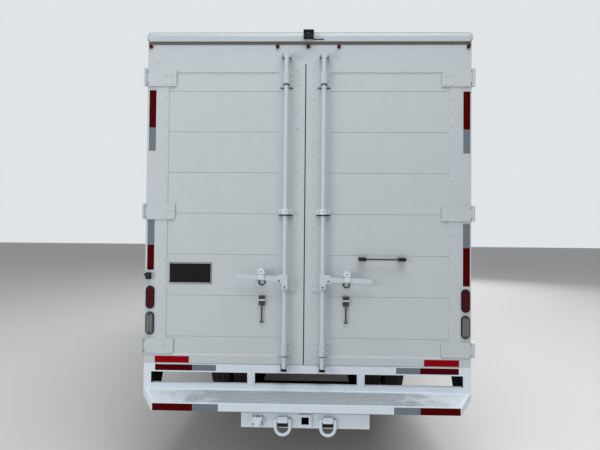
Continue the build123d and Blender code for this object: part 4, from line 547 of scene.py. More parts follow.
def block_ring_tree(name):
    """A ring of blocks round the X axis at every point of the mesh, as on a tyre's tread."""
    grower = Grower(name, ("Count", "Radius", "Phase"), ("Size",))
    add, given = grower.add, grower.given
    circle = add("GeometryNodeMeshCircle", {"Vertices": given["Count"], "Radius": given["Radius"]})
    step = add("ShaderNodeMath", {0: 2 * math.pi, 1: given["Count"]}, operation="DIVIDE")
    angle = add("ShaderNodeMath", {0: add("GeometryNodeInputIndex"), 1: step}, operation="MULTIPLY")
    turn = add("ShaderNodeCombineXYZ", {"Z": angle})
    lug = add("GeometryNodeMeshCube", {"Size": given["Size"]})
    ring = add("GeometryNodeInstanceOnPoints", {"Points": circle, "Instance": lug, "Rotation": turn})
    phase = add("ShaderNodeCombineXYZ", {"Z": given["Phase"]})
    phased = add("GeometryNodeTransform", {"Geometry": ring, "Rotation": phase})
    upright = add("GeometryNodeTransform", {"Geometry": phased, "Rotation": (0, math.pi / 2, 0)})
    rows = add("GeometryNodeInstanceOnPoints", {"Points": given["Geometry"], "Instance": upright})
    return grower.close(rows, False)


rivet_tree = heads_tree("rivet_rows", "IcoSphere", {"Subdivisions": 2}, True, True)
dome_tree = heads_tree("domes", "IcoSphere", {"Subdivisions": 2}, smooth=True)
bolt_tree = heads_tree("bolt_heads", "Cylinder", {"Vertices": 6, "Radius": 1.0, "Depth": 2.0})
bar_tree = heads_tree("raised_bars", "Cube", {})
lug_tree = block_ring_tree("tread_lugs")
quarter = math.pi / 2
face_turns = {"-Y": (quarter, 0, 0), "+Y": (-quarter, 0, 0), "+X": (0, quarter, 0), "-X": (0, -quarter, 0),
              "+Z": (0, 0, 0)}


def grown(name, tree, places, values):
    """Runs a tree on a carrier of points, or of lines given as pairs of points, and keeps the plain mesh."""
    def build(bm):
        for place in places:
            if isinstance(place[0], (tuple, list, Vector)):
                bm.edges.new([bm.verts.new(end) for end in place])
            else:
                bm.verts.new(place)
    carrier = linked(name + "_points", mesh_from(name + "_points", build))
    modifier = carrier.modifiers.new("heads", "NODES")
    modifier.node_group = tree
    for item in tree.interface.items_tree:
        if item.in_out == "INPUT" and item.name in values:
            modifier[item.identifier] = values[item.name]
    mesh = baked(carrier)
    bpy.data.objects.remove(carrier)
    return mesh


def heads(name, tree, places, body, material, radius, height, facing="-Y", pitch=0.1, slot=None):
    """Rivets along lines, or heads at points, turned to face out of a wall, as one piece."""
    values = {"Pitch": pitch, "Size": (radius, radius, height), "Turn": face_turns[facing],
              "Material": material}
    new_piece(name, grown(name, tree, places, values), body, material, slot)


def raised_bars(name, places, size, lean, body, material):
    """Bars on a level plate, each turned by an angle in degrees, as one piece."""
    values = {"Size": size, "Turn": (0, 0, math.radians(lean)), "Material": material}
    new_piece(name, grown(name, bar_tree, places, values), body, material)


# Rear doors: places along X, and heights, of what differs from side to side
rods = {"left": -0.162, "right": 0.118}
catches = {"left": (-0.335, 1.5361), "right": (0.297, 1.5218)}
rivet_columns = {"left": (-1.075, -0.078), "right": (1.075, 0.042)}
top_rivets = {"left": (-0.978, -0.2626), "right": (0.231, 1.0486)}
collars = {"left": -0.333, "right": 0.293}
strap_rows = (0.998, 2.006, 3.022)
guide_plate_rows = (1.007, 3.017)
stop_plate_z = 1.445
bolt_y = door_y - 0.006
guide_z = 2.024
sleeve_radius = 0.0245
sleeve_feet = {"low": 0.957, "top": 2.967}
# Profile of the black rings of painted shade at the foot of each sleeve
sleeve_shade = ((0.0, 0.0225), (0.0058, 0.0243))
ring_profile = ((0.0, 0.0252), (0.0012, 0.0262), (0.0398, 0.0262), (0.0410, 0.0252))
catch_radius = 0.025
catch_arc = [math.radians(-47 + 274 * step / 24) for step in range(25)]
upward = Vector((0, 0, 1))
for side, sign in sides:
    door = f"rear_door_{side}"
    rod = f"lock_rod_{side}"
    rod_x = rods[side]
    catch_x, catch_z = catches[side]

    # Rivets down the stiles, above and below the middle strap, and over the top rail
    outer_x, inner_x = rivet_columns[side]
    runs = ((outer_x, 2.1680, 2.8844), (outer_x, 1.1460, 1.8624), (inner_x, 0.9420, 3.0878))
    lines = [((x, door_y, low), (x, door_y, high)) for x, low, high in runs]
    lines.append([(x, door_y, 3.084) for x in top_rivets[side]])
    heads(f"door_rivets_{side}", rivet_tree, lines, door, door_enamel, 0.0074, 0.0042, pitch=0.1022)

    # Bolts on washers, in the straps, the guides and the plate beside the lever's hub
    bolts = [(sign * x, bolt_y, strap_z + dz) for strap_z in strap_rows for x in (1.028, 1.075)
             for dz in (-0.031, 0.031)]
    bolts += [(rod_x + dx, bolt_y, plate_z + dz) for plate_z in guide_plate_rows for dx in (-0.038, 0.038)
              for dz in (-0.042, 0.0, 0.042)]
    bolts += [(rod_x + dx, bolt_y, guide_z) for dx in (-0.034, 0.034)]
    bolts += [(rod_x - sign * dx, bolt_y, stop_plate_z) for dx in (0.045, 0.070)]
    heads(f"door_bolts_{side}", bolt_tree, bolts, door, rod_enamel, 0.0072, 0.0045)
    washers = [(x, y + 0.002, z) for x, y, z in bolts]
    heads(f"door_washers_{side}", dome_tree, washers, door, rod_enamel, 0.0115, 0.0035)
    hub_bolts = ((rod_x + sign * 0.040, hub_y, 1.516), (rod_x, hub_y, 1.472))
    heads(f"hub_bolts_{side}", bolt_tree, hub_bolts, rod, zinc_steel, 0.0065, 0.004, slot="white_paint")
    keeper_bolts = [(rod_x + dx, post_y - 0.006, z) for z in (3.184, 3.204) for dx in (-0.020, 0.020)]
    heads(f"keeper_bolts_{side}", dome_tree, keeper_bolts, "chassis", post_enamel, 0.005, 0.003)

    # Middle guide: a clamp round the sleeve with a screw in it, in the lighter enamel of painted highlight, over
    # a shelf painted black for its shadow
    ears = [((rod_x + low, door_y - 0.0095, guide_z - 0.020), (rod_x + high, door_y - 0.0055, guide_z + 0.020))
            for low, high in ((-0.049, -0.026), (0.026, 0.052))]
    plain_boxes(f"guide_ears_{side}", ears, door, highlight_enamel, 0.0008)
    block(f"guide_shadow_shelf_{side}", (rod_x - 0.051, door_y - 0.0225, guide_z - 0.0285),
          (rod_x + 0.055, door_y - 0.0055, guide_z - 0.0215), door, painted_shade, 0.0006)
    screw = (rod_x, rod_y - sleeve_radius, guide_z)
    heads(f"guide_screw_{side}", dome_tree, [screw], door, zinc_steel, 0.0050, 0.0026)
    lathe(f"guide_ring_{side}", (rod_x, rod_y, guide_z - 0.0205), upward, ring_profile, door, highlight_enamel)

    # Painted shade: black rings at the foot of each sleeve and a black strip under the upper guide's plate
    middle_shade = ((0.0, 0.0240), (0.0082, 0.0252))
    lathe(f"guide_shade_{side}", (rod_x, rod_y, guide_z - 0.0292), upward, middle_shade, door, painted_shade)
    for place, foot_z in sleeve_feet.items():
        lathe(f"guide_shade_{place}_{side}", (rod_x, rod_y, foot_z), upward, sleeve_shade, door, painted_shade)
    block(f"guide_plate_shade_{side}", (rod_x - 0.0475, door_y - 0.0070, 2.9545),
          (rod_x + 0.0475, door_y - 0.0002, 2.9593), door, painted_shade)

    # Catch: its padlock ring in bare steel, the lighter enamel of painted highlight on its round face and the
    # lever's tongue, and its eye
    ring_of_bar(f"padlock_ring_{side}", (catch_x, panel_y - 0.0040, catch_z - 0.037), 0.023, 0.0046, door,
                zinc_steel)
    face = [(catch_x + catch_radius * math.cos(angle), catch_z + 0.045 + catch_radius * math.sin(angle))
            for angle in catch_arc]
    slab(f"catch_face_{side}", face, 1, (catch_y - 0.0006, catch_y + 0.012), door, highlight_enamel)
    eye = (catch_x, catch_y, catch_z + 0.046)
    heads(f"catch_eye_{side}", dome_tree, [eye], door, zinc_steel, 0.0055, 0.0012)
    block(f"catch_tongue_{side}", (catch_x - 0.018, catch_y - 0.0095, catch_z - 0.011),
          (catch_x + 0.018, catch_y - 0.0075, catch_z + 0.0225), rod, highlight_enamel, 0.0008)

    # Painted shade on the lower cam, which sits back between the keeper's prongs, and a white collar between the
    # blocks of the holdback
    block(f"cam_shade_{side}", (rod_x - 0.0195, rod_y - 0.0092, 0.8475),
          (rod_x + 0.0195, rod_y - 0.0075, 0.8675), rod, painted_shade, 0.0006, "bare_metal")
    collar_x = collars[side]
    block(f"holdback_collar_{side}", (collar_x - 0.023, panel_y - 0.024, 1.3612),
          (collar_x + 0.023, panel_y, 1.3718), door, rod_enamel)

# Shadowed slots beside the upper cams
slots = [((rod_x + shift - 0.0045, post_y - 0.0075, 3.178), (rod_x + shift + 0.0045, post_y - 0.0058, 3.206))
         for rod_x in rods.values() for shift in (-0.0255, 0.0255)]
plain_boxes("keeper_slots", slots, "chassis", painted_shade)

# Black end caps over the feet of the grab handle
grab_low, grab_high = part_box("grab_handle")
grab_z = (grab_low[2] + grab_high[2]) / 2
cap_half = (0.0297, 0.0137)
caps = [((x - cap_half[0], grab_low[1] - 0.0006, grab_z - cap_half[1]),
         (x + cap_half[0], grab_high[1] + 0.0002, grab_z + cap_half[1]))
        for x in (grab_low[0] + 0.029, grab_high[0] - 0.029)]
plain_boxes("grab_caps", caps, "rear_door_right", handle_enamel, 0.008)

# Seals in the gaps round the doors, white at the frame and black where the doors meet
seal_x = (1.1362, 1.1418)
seal_y = (door_y + 0.0012, door_y + 0.010)
seal_top = 3.1458
seals = [((sign * seal_x[0], seal_y[0], 0.886), (sign * seal_x[1], seal_y[1], seal_top)) for sign in (-1, 1)]
seals.append(((-seal_x[1], seal_y[0], seal_top - 0.0056), (seal_x[1], seal_y[1], seal_top)))
plain_boxes("frame_seals", seals, "chassis", white_seal)
block("meeting_seal", (-0.0222, door_y + 0.006, 0.888), (-0.0155, door_y + 0.030, 3.138), "rear_door_right",
      seal_rubber)

# Tyres: a spun casing with ribbed sidewalls under rings of tread blocks
tyre_radius = 0.390
tyre_width = 0.226
tyre_turns = 96
casing_half = (
    (0.0835, 0.2262), (0.0900, 0.2300), (0.0925, 0.2385), (0.0960, 0.2420), (0.1010, 0.2500), (0.1080, 0.2680),
    (0.1118, 0.2880), (0.1129, 0.3050), (0.1118, 0.3065), (0.1129, 0.3080), (0.1122, 0.3240), (0.1098, 0.3260),
    (0.1100, 0.3300), (0.1075, 0.3450), (0.1040, 0.3600), (0.1010, 0.3700), (0.0975, 0.3755), (0.0920, 0.3790),
    (0.0600, 0.3812), (0.0565, 0.3775), (0.0505, 0.3775), (0.0470, 0.3815), (0.0205, 0.3825), (0.0170, 0.3780),
    (0.0110, 0.3780), (0.0075, 0.3825),
)
casing = casing_half + tuple((-x, radius) for x, radius in reversed(casing_half))
# Each row of blocks: distance from the middle, width, and blocks in a turn
block_rows = ((0.0860, 0.0190, 48), (0.0375, 0.0270, 60), (0.0, 0.0130, 60))
block_rise = 0.0105
block_share = 0.78


def spin_casing(bm, centre):
    """The closed casing round the X axis at a wheel's centre."""
    x, y, z = centre
    rings = [[(x + along, y + radius * math.cos(angle), z + radius * math.sin(angle)) for along, radius in casing]
             for angle in turn_angles(tyre_turns)]
    loft(bm, rings, True, True)


def tyre_piece(node, body, twin):
    """One piece of casings and tread blocks that stands for a node of tyres."""
    low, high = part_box(node)
    middle = [(low[i] + high[i]) / 2 for i in range(3)]
    reach = (high[0] - low[0] - tyre_width) / 2
    centres = [(middle[0] + shift, middle[1], middle[2]) for shift in ((-reach, reach) if twin else (0.0,))]
    bm = bmesh.new()
    for centre in centres:
        bm.from_mesh(mesh_from(node, lambda casing_bm: spin_casing(casing_bm, centre)))
    for row_x, row_width, count in block_rows:
        for sign in ((-1, 1) if row_x else (1,)):
            pitch = 2 * math.pi * tyre_radius / count
            values = {"Count": count, "Radius": tyre_radius - 0.0005 - block_rise / 2,
                      "Phase": (sign > 0) * math.pi / count,
                      "Size": (block_rise, pitch * block_share, row_width), "Material": tyre_rubber}
            ring = grown(node, lug_tree, [(centre[0] + sign * row_x, 0, 0) for centre in centres], values)
            ring.transform(Matrix.Translation((0, *middle[1:])))
            bm.from_mesh(ring)
    mesh = bpy.data.meshes.new(node + "_casing")
    bm.to_mesh(mesh)
    bm.free()
    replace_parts(new_piece(node + "_casing", mesh, body, tyre_rubber), node)


# Wheel nuts on their studs, on a circle on each rim's face
nut_circle = 0.092
nut_count = 8
nut_faces = (("front_wheel", "front_wheel", "front_tyre_left", 0.938),
             ("rear_wheels", "rear_wheel", "rear_tyres_left", 0.893))
for side, sign in sides:
    tyre_piece(f"front_tyre_{side}", f"front_wheel_{side}", False)
    tyre_piece(f"rear_tyres_{side}", f"rear_wheels_{side}", True)
    for stem, named, node, face_x in nut_faces:
        axle_y = sum(corner[1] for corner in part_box(node)) / 2
        angles = [angle + math.pi / nut_count for angle in turn_angles(nut_count)]
        nuts = [(sign * face_x, axle_y + nut_circle * math.cos(angle), tyre_radius + nut_circle * math.sin(angle))
                for angle in angles]
        body = f"{stem}_{side}"
        heads(f"{named}_{side}_nuts", bolt_tree, nuts, body, zinc_steel, 0.0135, 0.016, outward[sign])
        studs = [(x + sign * 0.010, y, z) for x, y, z in nuts]
        heads(f"{named}_{side}_studs", dome_tree, studs, body, zinc_steel, 0.0075, 0.012, outward[sign])

# Side walls: rivets down each post and along the rails, with a seam cover over every second post
wall_low = 0.776
wall_front_y = roof_high[1] - 0.008
wall_posts = [post_y + 0.170 + row * 0.610 for row in range(8)]
wall_pitch = 0.085
side_rail = 0.110
seam_x = body_half + 0.0016
rail_x = body_half + 0.0024
for side, sign in sides:
    lines = []
    seams = []
    for row, middle_y in enumerate(wall_posts):
        if row % 2:
            seams.append(((sign * body_half, middle_y - 0.027, wall_low + side_rail),
                          (sign * seam_x, middle_y + 0.027, roof_line - side_rail)))
        start = sign * (seam_x if row % 2 else body_half)
        for y in (middle_y - 0.018, middle_y + 0.018):
            lines.append(((start, y, wall_low + 0.14), (start, y, roof_line - 0.13)))
    rails = [((sign * body_half, post_y + 0.100, z), (sign * rail_x, wall_front_y, z + side_rail))
             for z in (wall_low, roof_line - side_rail)]
    for z in (wall_low + 0.020, wall_low + 0.088, roof_line - 0.090, roof_line - 0.022):
        lines.append(((sign * rail_x, post_y + 0.140, z), (sign * rail_x, wall_front_y - 0.040, z)))
    plain_boxes(f"wall_seams_{side}", seams, "chassis", wall_enamel, 0.0005)
    plain_boxes(f"wall_rails_{side}", rails, "chassis", post_enamel, 0.0008)
    heads(f"wall_rivets_{side}", rivet_tree, lines, "chassis", wall_enamel, 0.0070, 0.0032, outward[sign],
          wall_pitch)
lines = [((x, wall_front_y, wall_low + 0.06), (x, wall_front_y, roof_line - 0.05))
         for x in (-0.93, -0.47, 0.0, 0.47, 0.93)]
heads("bulkhead_rivets", rivet_tree, lines, "chassis", wall_enamel, 0.0070, 0.0032, "+Y", wall_pitch)

# Roof cap: rivets over each bow and along the sides, and amber clearance lamps at the front edge
lines = [((roof_low[0] + 0.06, y, roof_high[2]), (roof_high[0] - 0.06, y, roof_high[2])) for y in wall_posts]
heads("roof_bow_rivets", rivet_tree, lines, "chassis", roof_enamel, 0.0070, 0.0030, "+Z", wall_pitch)
for side, x, facing in (("right", roof_high[0], "+X"), ("left", roof_low[0], "-X")):
    lines = [((x, post_y + 0.05, roof_line + 0.040), (x, wall_front_y, roof_line + 0.040))]
    heads(f"roof_rivets_{side}", rivet_tree, lines, "chassis", roof_enamel, 0.0060, 0.0028, facing, 0.150)
lamps = [(x, roof_high[1], roof_line + 0.050) for x in (-1.12, -0.16, 0.0, 0.16, 1.12)]
heads("clearance_lamps", dome_tree, lamps, "chassis", amber_lens, 0.014, 0.012, "+Y", slot="red_lens")

# Cab: rubbers round the glass, wipers, lamps, grille, handles and mirror glass
cab_front_y = 3.735
cab_back_y = 2.075
cab_half = 1.000
screen_base = Vector((0, cab_front_y - 0.020, 1.280))
screen_head = Vector((0, cab_front_y - 0.250, 2.190))
screen_up = (screen_head - screen_base).normalized()
screen_out = Vector((0, screen_up.z, -screen_up.y))
screen_half = 0.880
screen_rise = ((screen_head - screen_base).length - 0.090) / 2


def on_screen(u, v, out=0.0):
    """A place on the windscreen's plane, from its middle."""
    return (screen_base + screen_head) / 2 + Vector((u, 0, 0)) + screen_up * v + screen_out * out


def at_foot(u, v, out):
    """A place on the windscreen's plane, from the middle of its lower edge."""
    return on_screen(u, v - screen_rise, out)


def bead(name, bounds, corner, place, radius, body, material):
    """A bar or rubber along a rectangle with round corners, which place(u, v) puts in space."""
    points = [place(u, v) for u, v in round_corners(bounds, corner)]
    tube(name, points, radius, body, material, cyclic=True)


screen = rectangle(-screen_half, screen_half, -screen_rise, screen_rise)
bead("windscreen_rubber", screen, 0.070, on_screen, 0.012, "cab", seal_rubber)
back_window = rectangle(-0.650, 0.650, 1.610, 2.030)
bead("back_window_rubber", back_window, 0.060, lambda x, z: (x, cab_back_y, z), 0.009, "cab", seal_rubber)
pivot_profile = ((0.0, 0.018), (0.010, 0.018), (0.018, 0.011))
knob_turns = 20
for side, u in (("left", -0.58), ("right", 0.16)):
    middle = at_foot(u + 0.26, 0.045, 0.026)
    arm = [at_foot(u, -0.030, 0.012), at_foot(u + 0.03, -0.022, 0.026), middle]
    tube(f"wiper_arm_{side}", arm, 0.006, "cab", black_plastic)
    blade = [at_foot(u - 0.02, 0.030, 0.016), middle - screen_out * 0.006, at_foot(u + 0.52, 0.052, 0.016)]
    tube(f"wiper_blade_{side}", blade, 0.0075, "cab", seal_rubber)
    pivot = at_foot(u, -0.030, -0.002)
    lathe(f"wiper_pivot_{side}", pivot, screen_out, pivot_profile, "cab", black_plastic, knob_turns)

grille_rows = [0.960 + row * 0.046 for row in range(5)]
inserts = [((-0.438, cab_front_y - 0.0198, z - 0.0125), (0.438, cab_front_y - 0.015, z + 0.0125))
           for z in grille_rows]
plain_boxes("grille_inserts", inserts, "cab", black_plastic)
bowl_profile = ((0.0, 0.056), (0.0030, 0.056), (0.0040, 0.052), (0.0022, 0.046), (0.0058, 0.026),
                (0.0070, 0.010))
# Door handle: plate, two feet and the grip, each as distances out of the door, along it, and heights
handle_parts = ((-0.002, 0.004, 2.700, 2.870, 1.170, 1.230), (0.004, 0.026, 2.712, 2.732, 1.190, 1.212),
                (0.018, 0.030, 2.705, 2.865, 1.190, 1.212), (0.004, 0.026, 2.838, 2.858, 1.190, 1.212))
well_pitch = 0.036
well_z = 0.5625
door_window = ((3.500, 1.400), (2.705, 1.400), (2.705, 2.070), (3.320, 2.070))
for side, sign in sides:
    lamp_x = sign * 0.760
    bezel = rectangle(lamp_x - 0.151, lamp_x + 0.151, 0.754, 0.886)
    bead(f"head_lamp_bezel_{side}", bezel, 0.030, lambda x, z: (x, cab_front_y + 0.002, z), 0.006, "cab",
         black_plastic)
    for number, shift in enumerate((-0.066, 0.066)):
        bowl_place = (lamp_x + shift, cab_front_y + 0.005, 0.820)
        lathe(f"head_lamp_bowl_{side}_{number}", bowl_place, (0, 1, 0), bowl_profile, "cab", bowl_lens)
    block(f"indicator_{side}", (sign * 0.922, cab_front_y - 0.004, 0.770),
          (sign * 0.966, cab_front_y + 0.008, 0.870), "cab", amber_lens, 0.004)
    door = f"cab_door_{side}"
    door_x = sign * cab_half
    bead(f"door_window_rubber_{side}", door_window, 0.040, lambda y, z: (door_x, y, z), 0.008, door,
         seal_rubber)
    handle = [((sign * (cab_half + near), y_low, z_low), (sign * (cab_half + far), y_high, z_high))
              for near, far, y_low, y_high, z_low, z_high in handle_parts]
    plain_boxes(f"door_handle_{side}", handle, door, black_plastic, 0.003)
    mirror_x = sign * 1.200
    mirror_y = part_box(f"mirror_{side}")[0][1]
    glass = round_corners(rectangle(mirror_x - 0.080, mirror_x + 0.080, 1.490, 1.850), 0.036)
    slab(f"mirror_glass_{side}", glass, 1, (mirror_y - 0.0012, mirror_y + 0.002), door, mirror_silver)
    well = [(sign * (0.73 + column * well_pitch), 3.225 + row * well_pitch, well_z) for column in range(7)
            for row in range(13)]
    raised_bars(f"step_well_bars_{side}", well, (0.024, 0.006, 0.003), 45, "cab", tread_plate)

# Seats: each cushion and back is blown up as cloth, then sewn with channels and a welt
seat_places = {"driver": (-0.500, 0.460), "bench": (0.350, 0.860)}
cushion_outline = ((2.394, 1.144), (2.858, 1.144), (2.858, 1.246), (2.394, 1.246))
back_outline = ((2.276, 1.200), (2.356, 1.200), (2.356, 1.292), (2.258, 1.884), (2.186, 1.884))
pad_rounding = 0.024
pad_voxel = 0.012
cloth_pressure = 4.0
cloth_frames = 20
swell_limit = 0.022
channel_pitch = 0.115
channel_depth = 0.006
channel_width = 0.007
least_facing = 0.55
welt_radius = 0.0042
welt_step = 0.022
welt_lift = 0.001


def swell_up(pad, floor_z):
    """Blows a pad up as cloth, holds each corner's way to the limit, and keeps it above the seat's base."""
    swell = pad.modifiers.new("swell", "CLOTH")
    swell.settings.use_pressure = True
    swell.settings.uniform_pressure_force = cloth_pressure
    swell.settings.effector_weights.gravity = 0.0
    swell.point_cache.frame_start = 1
    swell.point_cache.frame_end = cloth_frames
    for tick in range(1, cloth_frames + 1):
        bpy.context.scene.frame_set(tick)
    settled = baked(pad)
    pad.modifiers.clear()
    bpy.context.scene.frame_set(1)
    for vertex, now in zip(pad.data.vertices, settled.vertices):
        move = now.co - vertex.co
        if move.length > swell_limit:
            move = move * (swell_limit / move.length)
        place = vertex.co + move
        vertex.co = (place.x, place.y, max(place.z, floor_z))


def sew_channels(mesh, x_low, x_high, show_face):
    """Presses channels into the face that shows, evenly spaced across the pad."""
    normals = [vertex.normal.copy() for vertex in mesh.vertices]
    width = x_high - x_low
    channels = max(3, round(width / channel_pitch))
    for vertex, normal in zip(mesh.vertices, normals):
        facing = normal.dot(show_face)
        along = (vertex.co.x - x_low) / width * channels
        nearest = round(along)
        if facing > least_facing and 0 < nearest < channels:
            gap = abs(along - nearest) * width / channels
            vertex.co -= normal * channel_depth * facing * math.exp(-(gap / channel_width) ** 2)
    for polygon in mesh.polygons:
        polygon.use_smooth = True


def welt_points(mesh, seam, seam_axis, half_u, half_v):
    """The places where rays in the seam's plane meet the pad, round its four sides."""
    surface = BVHTree.FromPolygons([vertex.co for vertex in mesh.vertices],
                                   [polygon.vertices for polygon in mesh.polygons])
    corners = [Vector(corner) for corner in rectangle(-half_u, half_u, -half_v, half_v)]
    hits = []
    for start, end in zip(corners, corners[1:] + corners[:1]):
        steps = max(6, round((end - start).length / welt_step))
        for step in range(steps):
            u, v = start.lerp(end, step / steps)
            outside = seam + Vector((u, 0, 0)) + seam_axis * v
            place, normal, _, _ = surface.ray_cast(outside + (outside - seam) * 0.4, seam - outside)
            if place is not None:
                hits.append(place + normal * welt_lift)
    return hits


def stuffed(name, outline, x_low, x_high, floor_z, seam, seam_axis, half_v, show_face):
    """A seat pad: a rounded block that is blown up, sewn with channels and edged with a welt."""
    def build(bm):
        loft(bm, slab_rings(outline, 0, (x_low, x_high)))
        bmesh.ops.bevel(bm, geom=bm.edges[:], offset=pad_rounding, segments=3, profile=0.5, affect="EDGES")
    solid = linked(name + "_solid", mesh_from(name + "_solid", build))
    remesh = solid.modifiers.new("remesh", "REMESH")
    remesh.mode = "VOXEL"
    remesh.voxel_size = pad_voxel
    pad = linked(name + "_pad", baked(solid))
    bpy.data.objects.remove(solid)
    swell_up(pad, floor_z)
    finer = pad.modifiers.new("finer", "SUBSURF")
    finer.levels = 1
    finer.render_levels = 1
    mesh = baked(pad)
    bpy.data.objects.remove(pad)
    sew_channels(mesh, x_low, x_high, show_face)
    piece = new_piece(name, mesh, "cab", cloth)
    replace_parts(piece, "seats")
    points = welt_points(mesh, seam, seam_axis, (x_high - x_low) / 2, half_v)
    tube(name + "_welt", points, welt_radius, "cab", seat_welt, cyclic=True)


forward = Vector((0, 1, 0))
cushion_foot, back_foot = 1.1302, 1.1802
back_rise = Vector((0, 2.258 - 2.356, 1.884 - 1.292)).normalized()
back_out = Vector((0, back_rise.z, -back_rise.y))
for name, (seat_x, seat_width) in seat_places.items():
    span = (seat_x - seat_width / 2 + 0.018, seat_x + seat_width / 2 - 0.018)
    cushion_seam = Vector((seat_x, 2.626, 1.228))
    stuffed(f"{name}_cushion", cushion_outline, *span, cushion_foot, cushion_seam, forward, 0.232, upward)
    back_seam = Vector((seat_x, 2.307, 1.570)) - back_out * 0.022
    stuffed(f"{name}_back", back_outline, *span, back_foot, back_seam, back_rise, 0.320, back_out)

# Cab trim: rubber mat, door cards with pulls, back lining and headliner, and three pedals
cab_wall = 0.035
inner = cab_half - cab_wall
ceiling_z = 2.300 - cab_wall
lining_half = 0.90
mat_z = (0.890, 0.898)
arch_x = inner - 0.29
edge_x = inner - 0.004
mat_parts = ((-arch_x, arch_x, 3.640), (-edge_x, -arch_x, 3.170), (arch_x, edge_x, 3.170))
mats = [((x_low, 2.90, mat_z[0]), (x_high, y_high, mat_z[1])) for x_low, x_high, y_high in mat_parts]
plain_boxes("floor_mat", mats, "cab", seal_rubber, 0.002, "cab_trim")
block("back_lining", (-lining_half, cab_back_y + cab_wall, 0.95),
      (lining_half, cab_back_y + cab_wall + 0.010, 1.575), "cab", grey_plastic, 0.003)
block("headliner", (-lining_half, cab_back_y + 0.10, ceiling_z - 0.012),
      (lining_half, 3.36, ceiling_z), "cab", pale_lining, 0.004)
# Door card: panel, arm rest and pocket, each as distances into the cab from the door, along it, and heights
card_parts = ((0.008, 0.0, 2.76, 3.44, 0.96, 1.355), (0.040, 0.006, 2.90, 3.25, 1.170, 1.205),
              (0.022, 0.006, 2.80, 3.38, 0.990, 1.090))
crank_profile = ((0.0, 0.022), (0.008, 0.022), (0.014, 0.012), (0.030, 0.010))
for side, sign in sides:
    face = sign * inner
    card = [((face - sign * far, y_low, z_low), (face - sign * near, y_high, z_high))
            for far, near, y_low, y_high, z_low, z_high in card_parts]
    door = f"cab_door_{side}"
    plain_boxes(f"door_card_{side}", card, door, grey_plastic, 0.003)
    crank_place = (face - sign * 0.008, 3.330, 1.240)
    lathe(f"window_crank_{side}", crank_place, (-sign, 0, 0), crank_profile, door, black_plastic, knob_turns)
# Pads of the clutch, brake and throttle, then the arm of each
pedals = (
    ((-0.68, 3.400, 0.985), (-0.61, 3.412, 1.045)), ((-0.55, 3.400, 0.985), (-0.47, 3.412, 1.045)),
    ((-0.38, 3.390, 0.905), (-0.33, 3.402, 1.040)), ((-0.650, 3.410, 1.030), (-0.640, 3.620, 1.045)),
    ((-0.515, 3.410, 1.030), (-0.505, 3.620, 1.045)), ((-0.360, 3.400, 1.020), (-0.350, 3.620, 1.030)),
)
plain_boxes("pedals", pedals, "cab", seal_rubber, 0.002)

# Tank: cap on its neck and two straps round it
neck_axis = Vector((0.060, 0, 0.065)).normalized()
cap_place = Vector((0.980, 0.495, 0.725)) + neck_axis * 0.0004
cap_profile = ((0.0, 0.052), (0.020, 0.052), (0.026, 0.046), (0.028, 0.020))
lathe("fuel_cap", cap_place, neck_axis, cap_profile, "chassis", black_plastic, 24)
strap = rectangle(0.4710, 1.0115, 0.3985, 0.7015)
for number, strap_y in enumerate((-0.235, 0.405)):
    bead(f"tank_strap_{number}", strap, 0.0715, lambda x, z: (x, strap_y, z), 0.006, "chassis", chassis_enamel)

# Dashboard: the instrument hood with its gauges, vents and a switch panel
dash_y = 3.315
block("instrument_hood", (-0.665, dash_y + 0.070, 1.262), (-0.335, dash_y + 0.190, 1.345), "cab",
      grey_plastic, 0.016)
gauge_profile = ((0.0, 0.036), (0.004, 0.036), (0.006, 0.032), (0.003, 0.030), (0.0032, 0.004))
for number, gauge_x in enumerate((-0.595, -0.500, -0.405)):
    gauge_place = (gauge_x, dash_y + 0.071, 1.306)
    lathe(f"gauge_{number}", gauge_place, (0, -1, 0), gauge_profile, "cab", black_plastic, 28, "cab_trim")
vents = [((x - 0.055, dash_y + 0.003, z), (x + 0.055, dash_y + 0.020, z + 0.006))
         for x in (-0.82, -0.18, 0.18, 0.80) for z in (1.190, 1.203, 1.216, 1.229)]
plain_boxes("dash_vents", vents, "cab", black_plastic, slot="cab_trim")
block("switch_panel", (-0.10, dash_y + 0.006, 1.150), (0.10, dash_y + 0.026, 1.180), "cab",
      black_plastic, 0.003, "cab_trim")

# Rear face of the roof cap: a rolled top edge and a deeper lip, with the drip groove under it, dark for road dirt
# and for painted shade under the lip
cap_rear_y = roof_low[1]
cap_top = roof_high[2]
lip_z = roof_line + 0.011
groove_height = 0.023
cap_outline = ((cap_rear_y + 0.004, lip_z), (cap_rear_y - 0.0045, lip_z), (cap_rear_y - 0.0055, lip_z + 0.002),
               (cap_rear_y - 0.0055, cap_top - 0.034), (cap_rear_y - 0.003, cap_top - 0.018),
               (cap_rear_y + 0.003, cap_top - 0.003), (cap_rear_y + 0.010, cap_top - 0.003))
slab("cap_roll", cap_outline, 0, (roof_low[0] + 0.022, roof_high[0] - 0.022), "chassis", roof_enamel)
block("drip_groove", (-body_half + 0.003, post_y - 0.0012, lip_z - groove_height),
      (body_half - 0.003, post_y + 0.0004, lip_z + 0.001), "chassis", groove_dirt_and_shade)

# Lighter enamel on the sill and on the outer and middle legs, under the tape
sill_low, sill_high = 0.8195, 0.8815
frame_half = 0.432
enamel_half = 0.0003
lighter_faces = [((-body_half + 0.0006, post_y - enamel_half, sill_low),
          (body_half - 0.0006, post_y + enamel_half, sill_high))]
leg_spans = ((body_half - 0.0565, body_half - 0.0006, step_top + 0.0006),
             (frame_half - 0.0495, frame_half + 0.0045, step_top + 0.0365))
lighter_faces += [((sign * near, post_y - enamel_half, low_z), (sign * far, post_y + enamel_half, sill_low))
          for near, far, low_z in leg_spans for sign in (-1, 1)]
plain_boxes("sill_enamel_face", lighter_faces, "chassis", sill_enamel)


def tape(name, x_span, z_span, face_y, body, material, thick=0.0006):
    """A strip on a face that looks backwards."""
    block(name, (x_span[0], face_y - thick, z_span[0]), (x_span[1], face_y, z_span[1]), body, material)


